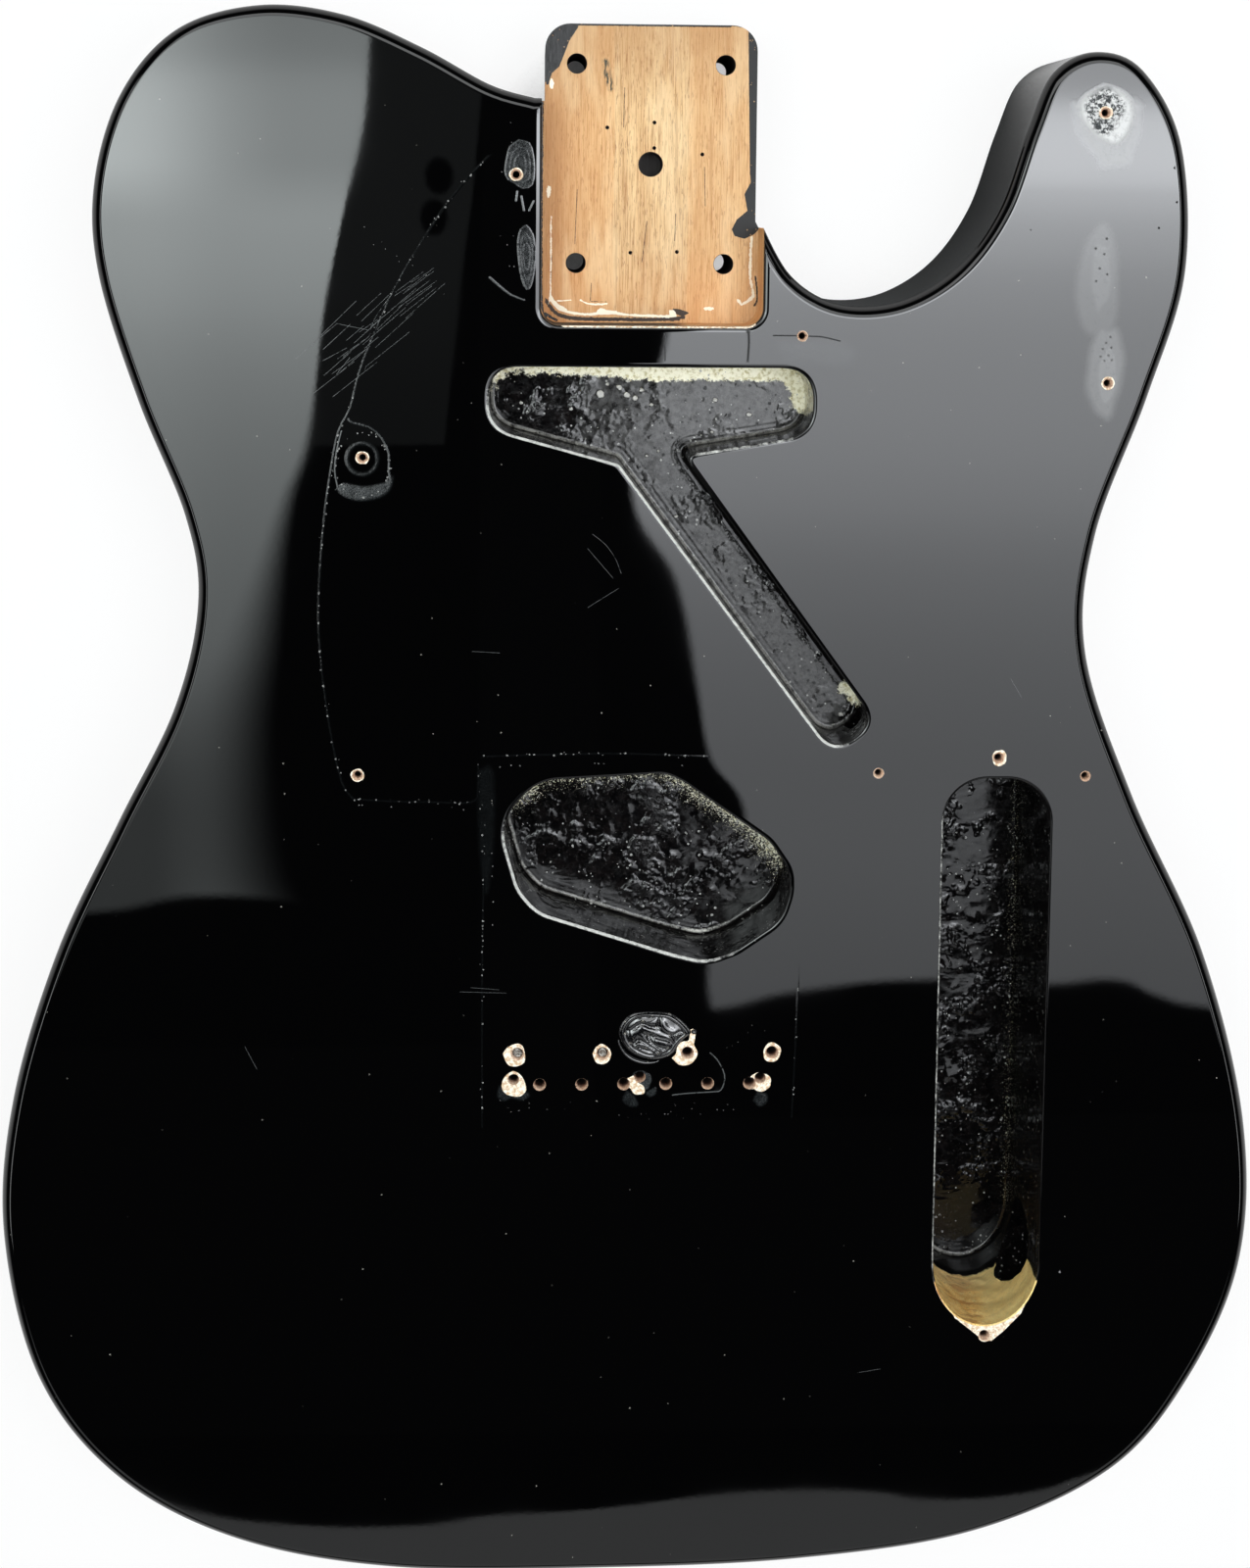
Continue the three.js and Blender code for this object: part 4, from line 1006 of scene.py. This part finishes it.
pocket_marks = [
    Patch("paint", [(-15.5, 203), (-15.9, 201), (-18.1, 197.6), (-19.3, 194.3), (-20.6, 191.1), (-22.5, 189.4),
                    (-23.3, 186.6), (-26, 186), (-26, 203)], 0.3, smooth=False),
    Patch("paint", [(27.7, 203), (28.6, 164.7), (28.9, 162.2), (27.3, 159.2), (28.1, 154.9), (25.4, 152.6),
                    (24.1, 150.1), (24.9, 148.4), (27.5, 147.7), (29.9, 148.9), (33, 152), (33, 203)], 0.3,
          smooth=False),
    Line("paint", [(-26, 201.8), (33, 201.8)], 0.5, smooth=False),
    Line("paint", [(-24.9, 190), (-24.9, 131), (-23.6, 128), (-21, 126.4)], 0.9, 0.8),
    *[Line("crack", line, 0.14, 1.1, smooth=False) for line in (
        [(-15.8, 160), (-16.3, 146)], [(2.2, 152), (1.0, 141.5)], [(9.6, 154), (9.4, 147)],
        [(-22.2, 143), (-22.4, 136)], [(-3.8, 186), (-4.0, 176)], [(16.9, 166), (17.2, 156)],
        [(-12.0, 136), (-12.2, 131.5)])],
    # Painted shade along the foot of the bridge-side wall and into its corner, with paint left there
    Line("crack", [(-23.6, 131.4), (-21.8, 128.9), (-19.5, 127.5), (-15, 126.8), (-4, 126.7), (4, 126.7), (9.5, 126.9),
                   (12, 127.4)], 0.8, 1.15),
    Line("crack", [(-12.2, 131.3), (-8, 131.2)], 0.3, 0.6),
    Line("crack", [(30.4, 138), (30.9, 134), (31, 132), (30.2, 130.5)], 0.42, 1.1),
    Patch("crack", [(8.9, 129.6), (10.9, 129.4), (13.2, 128.5), (12, 127.9), (10.3, 128)], 0.3),
    Line("bare", [(-22.2, 131.6), (-21.2, 130.1), (-19.2, 128.8), (-15.4, 128.1), (-12.8, 127.9), (-9.8, 128.2),
                  (-5.5, 128.3), (-2.7, 127.9), (2.3, 127.7), (7.4, 127.5), (9.7, 127.8)], 0.55, 1.2),
    Line("bare", [(-22.4, 132), (-21.5, 130.8), (-20.4, 129.8), (-19, 129.2)], 0.85, 1.3),
    Patch("bare", [(-10.4, 128.9), (-9.6, 129.5), (-7.4, 129), (-5.2, 128.7), (-7, 128), (-10, 127.9)], 0.35, 1.2),
    Patch("bare", [(8.2, 129.1), (9.4, 129.1), (10.1, 127.6), (8.5, 127.6)], 0.25, 1.2),
    Line("bare", [(-14.8, 131.6), (-13.1, 130.8), (-10.8, 130.5), (-7.9, 130.7)], 0.4, 0.95),
    Line("bare", [(-20.7, 131.4), (-19.2, 131.4), (-17.2, 131.6)], 0.32, 0.9),
    Line("bare", [(-22.4, 153), (-22.5, 150), (-22.4, 142), (-22.5, 136.9), (-22.5, 133.1), (-23, 130.6)], 0.4, 0.8),
    Line("bare", [(29.3, 148), (29, 141), (29.1, 137.3), (29.7, 134.8), (30, 132.7)], 0.6, 1.0),
    Line("bare", [(30, 132.9), (28.4, 131.5), (26.9, 130.7), (25.9, 131.9)], 0.6, 1.1, smooth=False),
    disc("bare", 18.5, 129.6, 1.3, 0.5, 0.4, 0.9, seed=81),
    disc("bare", -23.1, 159.3, 0.6, 1.5, 0.4, 0.75, seed=82),
    disc("bare", -22.5, 186.8, 0.6, 1.4, 0.4, 0.8, seed=83),
    Patch("haze", [(-9.6, 193), (-8.2, 193), (-7.3, 189), (-6.6, 185.6), (-7.8, 185.2), (-9, 188)], 0.7),
]

# Crumbs of paint on the neck rout's floor
rout_marks = [disc("bare", x, y, r, r * 0.8, 0.3, seed=90 + i, rough=0.25, sides=14) for i, (x, y, r) in enumerate((
    (-9.4, 107.2, 1.1), (-7.6, 109.8, 0.5), (-4.5, 109.0, 0.75), (-2.5, 107.0, 0.85), (-0.4, 106.2, 0.75),
    (1.3, 108.3, 0.6), (-2.3, 110.6, 0.5), (3.9, 104.5, 0.5), (29.4, 102.0, 0.65), (20.5, 105.8, 0.6),
    (19.8, 97.4, 0.4), (-17.0, 103.3, 0.5), (-29.9, 104.8, 0.45), (10.6, 75.2, 0.5), (2.8, 91.1, 0.4),
    (5.8, 92.4, 0.35), (52.8, 19.6, 0.6), (54.9, 22.6, 0.7)))]

skin = Skin(body.data)
bpy.data.objects.remove(body)
skin.relay(T, LACQUER, face_marks, 6.0)
skin.relay(POCKET_Z, POCKET, pocket_marks, 5.0)
for _, depth, *_ in ROUTS:
    skin.relay(T - depth, ROUT, rout_marks if depth == NECK_ROUT_D else [], 1.1)
skin.prune()
v = skin.verts
channels = {k: np.zeros(len(v)) for k in "haze scratch bare crack chalk paint lift dust edge grit near".split()}
on_face, on_pocket = v[:, 2] > T - 0.6, abs(v[:, 2] - POCKET_Z) < 0.3
on_rout = abs(v[:, 2] - (T - NECK_ROUT_D)) < 0.05
for marks, near in ((face_marks, on_face), (pocket_marks, on_pocket), (rout_marks, on_rout)):
    for mark in marks:
        worth = channels[mark.channel][near]
        found = mark.at(v[near, :2])
        channels[mark.channel][near] = np.where(abs(found) > abs(worth), found, worth)

# Dust lies along the walls of the routs, most of it on the neck side. Rims and feet of the walls that face the neck
# and the treble side are pale, as wear and as painted highlight.
for loop, depth, (lip_w, lip_h), _, _, dusty, drift in ROUTS:
    wide = inset(loop, -lip_w - 0.02)
    ids = np.nonzero((v > [*wide.min(0), T - depth - 0.1]).all(1) & (v < [*wide.max(0), T + 0.1]).all(1))[0]
    ids = ids[inside(v[ids, :2], wide)]
    ends = np.roll(loop, -1, 0)
    near, which = nearest(v[ids, :2], loop, ends)
    side = np.array([np.array((d[1], -d[0])) / np.linalg.norm(d) for d in ends - loop])[which]
    x, y, up = v[ids, 0], v[ids, 1], v[ids, 2] - (T - depth)
    channels["near"][ids] = near
    north = np.clip(0.1 + 0.9 * side[:, 1] + np.where(side[:, 0] > 0, 0.62, -0.42) * side[:, 0], 0.05, 1)
    if depth == NECK_ROUT_D:
        north *= np.interp(y, [30, 34, 96, 104], [0.5, 0.1, 0.1, 1]) * np.interp(x, [-30, -8, 0], [0.5, 0.62, 1])
        # Along the channel's treble wall the paler even coat gives way, so floor and wall stay darker there
        far_wall = (side[:, 0] > 0.5) & (y < 97) & (up < depth - 1)
        channels["grit"][ids[far_wall]] = np.clip(1.5 - near[far_wall] / 2.6, 0, 1.2)
    over_floor, up_wall = np.clip((drift + 1.5 - near) / drift, 0, 1), np.clip(1 - (up - 1) / 3, 0, 1)
    channels["dust"][ids] = dusty * north * (over_floor * up_wall)
    facing = np.clip(-0.75 * side[:, 1] - 0.65 * side[:, 0], 0, 1)
    lip_ring = (up > depth - lip_h * 0.98) & (up < depth - lip_h * 0.03)
    foot_ring = (up > SEAM) & (up < 0.4) & (near < 1.4)
    foot = (0.55 if depth == BRIDGE_ROUT_D else 0.35) * facing
    # A painted highlight spot on the foot of the bridge rout's wall that faces the neck
    if depth == BRIDGE_ROUT_D:
        foot += 1.2 * np.exp(-(((x - 18.6) / 4) ** 2 + ((y + 37.4) / 2.2) ** 2))
    channels["edge"][ids] = np.where(lip_ring, 0.15 + 0.62 * facing, np.where(foot_ring, foot, 0))

# Lacquer chipped off along the inner edge of the pocket's lip, on its bridge side
rim = (v[:, 2] > T - 0.52) & (v[:, 2] < T - 0.05) & (v[:, 1] > 124) & (v[:, 1] < 127.4) & (abs(v[:, 0] - 5) < 24)
channels["bare"][rim] = np.interp(v[rim, 2], [T - 0.5, T - 0.19, T - 0.1], [1.3, 0.7, 0.1])

# Crumbs stand up from the floor
v[on_rout, 2] += 0.5 * channels["bare"][on_rout]

# The rough end wall of the control cavity
mid = v[skin.tris].mean(1)
n, _ = skin.normals()
tail_y = CONTROL_END + CONTROL_TAIL
wall = (mid[:, 1] < tail_y - 2) & (mid[:, 1] > CONTROL_END - 0.9) & (abs(mid[:, 0] - CONTROL_X) < CONTROL_W / 2 + 0.9)
wall &= (mid[:, 2] > T - CONTROL_D + 1.3) & (mid[:, 2] < T - SEAM) & (skin.kinds != HOLE) & (abs(n[:, 2]) < 0.98)
skin.kinds[wall] = TAIL
ids = np.unique(skin.tris[wall])
for i in ids[(v[ids, 2] > T - 27) & (v[ids, 2] < T - 0.3) & (v[ids, 1] < tail_y - 5)]:
    p = v[i]
    out = Vector((p[0] - CONTROL_X, (p[1] - tail_y) * CONTROL_W / 2 / CONTROL_TAIL, 0)).normalized()
    push = 0.45 * noise.noise(Vector(p) * 0.35) + 0.35 * noise.noise(Vector((p[0] * 0.5, p[1] * 0.5, p[2] * 1.3)))
    v[i] += np.array(out) * (0.45 + push)

# Lumps of paint and filler on the rout floors, thickest round (x, y) within (rx, ry)
for depth, x, y, rx, ry, high in (
        (NECK_ROUT_D, -3, 104, 22, 12, 0.25), (BRIDGE_ROUT_D, 12, -22, 20, 12, 1.3),
        (BRIDGE_ROUT_D, -12, -10, 22, 14, 0.5), (CONTROL_D, CONTROL_X - 6, -50, 12, 70, 0.8)):
    for i in np.nonzero(abs(v[:, 2] - (T - depth)) < 1.3)[0]:
        p = Vector(v[i])
        here = max(0, 1 - ((p.x - x) / rx) ** 2 - ((p.y - y) / ry) ** 2)
        if here and abs(v[i, 2] - (T - depth)) < SEAM + high:
            v[i, 2] += high * here * max(0, noise.noise(p * 0.4) + 0.6 * noise.noise(p * 0.85) - 0.05)
v[:, 2] += channels.pop("lift") * (v[:, 2] > T - 0.01)
v[:] = np.clip(v, np.array(cad_box[0]) / MM, np.array(cad_box[1]) / MM)

body = skin.build("lacquered_body", finishes, channels)
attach(body, "root")
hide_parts("bass_outer_plank", "bass_inner_plank", "treble_inner_plank", "treble_outer_plank")

# The small pieces


def piece(name, verts, faces, finish, slot, *nodes):
    obj = link(name, verts, faces, [0] * len(faces), [finish])
    obj.data.polygons.foreach_set("use_smooth", np.ones(len(faces), bool))
    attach(obj, "root")
    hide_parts(*nodes)


def circle(x, y, r, count):
    a = np.arange(count) / count * 2 * math.pi
    return x + r * np.cos(a), y + r * np.sin(a)


def lathe(x, y, profile, sides=64):
    """A closed ring of the given (radius, z) profile about a vertical axis."""
    a = np.arange(sides) * 2 * math.pi / sides
    return loft([np.column_stack([x + r * np.cos(a), y + r * np.sin(a), np.full(sides, z)]) for r, z in profile],
                closed=True)


def broken_screw(x, y, sides=40):
    """A threaded stub with a torn, stepped top."""
    bottom, top, pitch = T - 19.7, T - 1.3, 1.1
    turns, rings = np.arange(sides) / sides, []
    for z in np.arange(bottom, top, 0.18):
        thread = 1.16 - 0.22 * np.abs((z / pitch - turns) % 1 - 0.5) * 2
        rings.append(np.column_stack([*circle(x, y, thread, sides), np.full(sides, z)]))
    for r in (1.1, 0.95, 0.8, 0.62, 0.44, 0.26, 0.1):
        px, py = circle(x, y, r, sides)
        step = 0.5 * ((turns + 0.9 * r) % 1)
        torn = [0.3 * noise.noise(Vector((u * 1.9, w * 1.9, x))) for u, w in zip(px, py)]
        rings.append(np.column_stack([px, py, top + step + torn + 0.1]))
    return loft(rings)


def blob(loop, height, rows=30):
    """A drop with a flat foot on the face. height gives its thickness at a point and at a share of the way out."""
    mid = loop.mean(0)
    rings = [np.column_stack([loop, np.full(len(loop), T + 0.01)])]
    for k in np.sin(np.linspace(math.pi / 2, 0.05, rows)):
        p = mid + (loop - mid) * k
        rings.append(np.column_stack([p, [T + 0.03 + height(q, k) for q in p]]))
    return loft(rings)


def smear(line, half, high):
    """A thin raised line of the stuff, tapered at both ends."""
    along = np.gradient(line, axis=0)
    across = np.stack([-along[:, 1], along[:, 0]], 1) / np.linalg.norm(along, axis=1)[:, None]
    turns, rings = np.radians(np.linspace(0, 180, 9)), []
    for k, (p, side) in enumerate(zip(line, across)):
        size = math.sin(math.pi * (k + 0.5) / len(line)) ** 0.5
        rings.append(np.column_stack([
            p[0] + side[0] * half * size * np.cos(turns), p[1] + side[1] * half * size * np.cos(turns),
            T + 0.02 + high * size * np.sin(turns)]))
    return loft(rings)


def lump_height(q, k):
    p = Vector((q[0], q[1], 0))
    low = max(0, min(1, (-59 - q[1] + 0.35 * (5 - q[0])) / 5 + 0.4))
    rim = math.exp(-((k - 0.88) / 0.055) ** 2) + low * (math.exp(-((k - 0.73) / 0.04) ** 2) + 0.8 * math.exp(
        -((k - 0.6) / 0.035) ** 2))
    swirl = p + 3.4 * noise.noise_vector(p * 0.14 + Vector((4, 7, 0)))
    fold = abs(math.sin(2.5 * noise.noise(swirl * 0.16 + Vector((9, 2, 5))) * math.pi))
    body = 0.42 * (1 - k**8) ** 0.5
    return max(0.0, min(1.07, body + 0.3 * rim * (1 - k**20) + 0.75 * fold * max(0, 1 - (k / 0.82) ** 4)))


nickel = metal("worn_nickel", srgb(196, 190, 178), 0.22, 0.6)
steel = metal("broken_steel", srgb(150, 146, 140), 0.3, 1.5)
ferrule = [(r, FERRULE_SINK + z) for r, z in (
    (FERRULE_R - 0.5, 0), (FERRULE_R, 0.5), (FERRULE_R, FERRULE_L - 0.2), (FERRULE_R - 0.2, FERRULE_L),
    (1.7, FERRULE_L), (1.7, 6.9), (2.6, 6), (2.6, 0.3), (2.9, 0))]
for i, x in enumerate(STRINGS):
    piece(f"nickel_ferrule_{i + 1}", *lathe(x, STRING_Y, ferrule), nickel, "nickel_plated_brass",
          f"string_ferrule_{i + 1}")
for i in range(2):
    piece(f"screw_stub_{i + 1}", *broken_screw(ROW[i], ROW_Y), steel, "broken_screw_steel",
          f"broken_bridge_screw_{i + 1}")
drop = [(-3.8, -56.6), (-2.8, -54), (-0.5, -52.1), (2.8, -51.5), (6.3, -51.6), (9.4, -52.0), (11.9, -53.5), (14, -55.6),
        (14.8, -57.2), (13, -58.8), (11.5, -60.6), (10.3, -62.4), (8, -63.7), (4.4, -64.2), (0.9, -63.1), (-1.7, -61.3),
        (-3.2, -59.2)]
drop = even(spline(drop[::-1] + drop[-1:], 0.4)[:-1], 0.35)
bead = np.array(spline([(-4.0, -58.8), (-3.4, -60.7), (-1.8, -62.9), (0.4, -64.3), (2.9, -65.0), (5.6, -64.9),
                        (6.7, -64.4)], 0.4))
tear = np.array(arc(15.6, -56.9, 0.75, 0.62, 0, 360, 32)[:-1])
lumps = blob(drop, lump_height), blob(tear, lambda q, k: 0.7 * (1 - k * k) ** 0.5, 8), smear(bead, 0.42, 0.55)
piece("black_filler_lump", *merged(lumps), filler(), "black_filler", "filler_lump")

# Floor, world, lights and camera
CAM, CAM_H = (-26.12, 154.70), 540.0  # where the camera stands, and how high over the face
CARD_H, FLOOR = 1000, 8000
ROWS, FOCAL, SENSOR = 1600, 2200, 36  # the picture's height and the focal length in pixels, the sensor in millimetres


def floor():
    m, t = material("floor")
    path = t.add("ShaderNodeLightPath").outputs
    # Painted shade and light: ambient occlusion dims the floor's glow near and under the body, more in reflections, and
    # a painted pool of light keeps it bright under the holes by the horn
    open_sky = t.add("ShaderNodeAmbientOcclusion", {"samples": 8}, Distance=0.07).outputs["AO"]
    x, y, _ = t.axes()
    painted_light_by_horn = t.blend(t.span(x, 8.0, 12.0) * t.span(y, 100.0, 120.0), 0.03, 0.62)
    lit = t.blend(path["Is Glossy Ray"], t.blend(t.span(open_sky, 0.02, 0.3), painted_light_by_horn, 1.0),
                  t.span(open_sky, 0.5, 0.95))
    seen = t.highest(path["Is Camera Ray"], path["Is Glossy Ray"], path["Is Transmission Ray"])
    plain = t.add("ShaderNodeBsdfDiffuse", Color=(0.86, 0.86, 0.86))
    glow = t.add("ShaderNodeEmission", Color=(1.0, 1.0, 1.0), Strength=lit)
    mixed = t.add("ShaderNodeMixShader", i0=seen * 0.88, i1=plain.outputs[0], i2=glow.outputs[0])
    t.add("ShaderNodeOutputMaterial", Surface=mixed.outputs[0])
    corners = [(x * FLOOR, y * FLOOR, 0) for x, y in ((-1, -1), (1, -1), (1, 1), (-1, 1))]
    obj = link("floor", corners, [(0, 1, 2, 3)], [0], [m])
    obj.location.z = -0.0002


def card(name, low, high, light, tint=(0.97, 0.99, 1.0)):
    """A soft light above the camera. low and high are the corners of its reflection in the face."""
    m, t = material(name)
    glow = t.add("ShaderNodeEmission", Color=tint, Strength=light(t))
    t.add("ShaderNodeOutputMaterial", Surface=glow.outputs[0])
    (x0, y0), (x1, y1) = low, high
    obj = link(name, [(x0, y0, 0), (x0, y1, 0), (x1, y1, 0), (x1, y0, 0)], [(0, 1, 2, 3)], [0], [m])
    k = (CAM_H + CARD_H) / CAM_H
    obj.scale = (k, k, 1)
    obj.location = (CAM[0] * (1 - k) * MM, CAM[1] * (1 - k) * MM, (T + CARD_H) * MM)
    obj.visible_camera = False


def curve(t, value, low, high, *points):
    """A smooth function of a socket through the points, whose values lie between low and high."""
    node = t.add("ShaderNodeFloatCurve")
    c = node.mapping.curves[0]
    first, last = points[0][0], points[-1][0]
    pts = [((x - first) / (last - first), (y - low) / (high - low)) for x, y in points]
    c.points[0].location, c.points[-1].location = pts[0], pts[-1]
    for p in pts[1:-1]:
        c.points.new(*p)
    node.mapping.update()
    t.put(node.inputs["Value"], (value - first) / (last - first))
    return Signal(t, node.outputs[0]) * (high - low) + low


def left_light(t):
    x, y, _ = t.axes()
    edge = curve(t, y, -110, -40, (-60, -80), (-27, -82.8), (-11.6, -88), (13.9, -90.8), (46.7, -89.4), (79.1, -86.7),
                 (96.5, -82.3), (126, -79.2), (152.8, -74.3), (177, -68.9), (195, -67.4), (260, -60))
    fade = curve(t, y, 0, 50, (-60, 44), (-16, 40), (20, 30), (50, 16), (80, 6), (110, 1.2), (260, 0.8))
    side = t.span(x, edge - t.highest(fade, 0.6), edge + 0.6, 1.0, 0.0)
    bottom = curve(t, x, -60, 0, (-260, -27), (-134, -24.2), (-112, -20.5), (-60, -27))
    foot = t.span(y - bottom, -1.5, 1.5)
    tone = curve(t, y, 0, 10, (-60, 1.8), (-10, 2.0), (20, 2.1), (47, 2.5), (72, 3.0), (108, 4.2), (145, 6.6),
                 (165, 7.2), (180, 7.2), (195, 5.4), (260, 3.6))
    tone = tone * t.span(x, -100.0, -125.0, 1.0, t.span(y, 0.0, 60.0, 0.35, 1.12))
    tone = tone * t.blend(t.span(y, 150.0, 168.0), 1.0, t.span(x, -135.0, -85.0, 1.4, 0.78))
    tilted = x + (143.9 - y) * 0.0988
    panel = t.span(tilted, -43.4, -44.6) * t.span(y, 94.6, 96.0, 0.0, t.span(y, 95.0, 150.0, 0.1, 0.15))
    for ox, oy in ((-50.5, 162.7), (-51.7, 152.8)):
        panel = panel * t.span((x - ox) ** 2 + ((y - oy) * 0.75) ** 2, 6.0, 16.0)
    return t.highest(tone * (side * foot), panel)


def right_light(t):
    x, y, _ = t.axes()
    edge = curve(t, y, -40, 60, (-80, 30), (-51, 19.8), (-39.2, 18.4), (-1.7, 28), (16.2, 18.2), (34.1, 15),
                 (59.4, 9.7), (89.4, -3), (124.1, 6.2), (300, 20))
    bottom = curve(t, x, -80, -20, (0, -51), (19.8, -51), (40, -47), (77.1, -43.5), (109.2, -45), (125, -44),
                   (136, -48), (146.8, -51), (300, -55))
    tone = curve(t, y, 0, 16, (-80, 1.4), (-40, 1.7), (-10, 2.0), (20, 2.2), (60, 3.1), (85, 4.4), (97, 4.9),
                 (127, 5.8), (147, 8.0), (160, 11.0), (172, 14.0), (182, 11.0), (190, 7.5), (300, 4.0))
    return tone * (t.span(x - edge, -0.8, 2.0) * t.span(y - bottom, -1.2, 1.6))


def tail_light(t):
    x, y, _ = t.axes()
    top = curve(t, x, -200, -120, (-260, -140), (-138.9, -173.8), (-113.6, -185.4), (-92.5, -189.1), (-54.8, -190.5),
                (-36.8, -188.4), (-10.9, -187), (15, -184.4), (46.1, -182.7), (63.6, -183.3), (81, -185.8),
                (106.7, -184), (119.4, -180.1), (260, -130))
    return t.span(y - top, 0.6, -0.6, 0.0, 0.72)


floor()
card("left_softbox", (-215, -60), (-40, 250), left_light, (0.93, 1.0, 1.0))
card("right_softbox", (-10, -80), (215, 250), right_light, (0.95, 0.98, 1.02))
card("tail_softbox", (-260, -700), (260, -165), tail_light)
card("north_softbox", (-215, 264), (215, 420), lambda t: 3.0)
card("left_strip", (-330, -150), (-280, 300), lambda t: 4.0)
card("right_strip", (290, -150), (340, 300), lambda t: 4.0)

world = bpy.data.worlds.new("studio")
bpy.context.scene.world = world
world.use_nodes = True
t = Tree(world.node_tree)
up = t.add("ShaderNodeSeparateXYZ", Vector=t.add("ShaderNodeTexCoord").outputs["Generated"]).outputs[2]
level = t.span(up, 0.04, 0.4, 1.0, 0.006)
back = t.add("ShaderNodeBackground", Color=(1.0, 1.0, 1.0), Strength=level)
t.add("ShaderNodeOutputWorld", Surface=back.outputs[0])

cam = add_object("camera", bpy.data.cameras.new("camera"))
bpy.context.scene.camera = cam
cam.data.sensor_width, cam.data.lens = SENSOR, FOCAL * SENSOR / ROWS
cam.data.shift_x, cam.data.shift_y = 0.0, -0.24
look = Vector((-90 / FOCAL, 202 / FOCAL, -1))
turn = look.rotation_difference(Vector((0, 0, -1))).to_matrix()
cam.matrix_world = Matrix.Translation(Vector((*CAM, T + CAM_H)) * MM) @ (
    Matrix.Rotation(math.radians(0.4), 3, "Z") @ turn).to_4x4()

bpy.context.scene.view_settings.view_transform = "Standard"
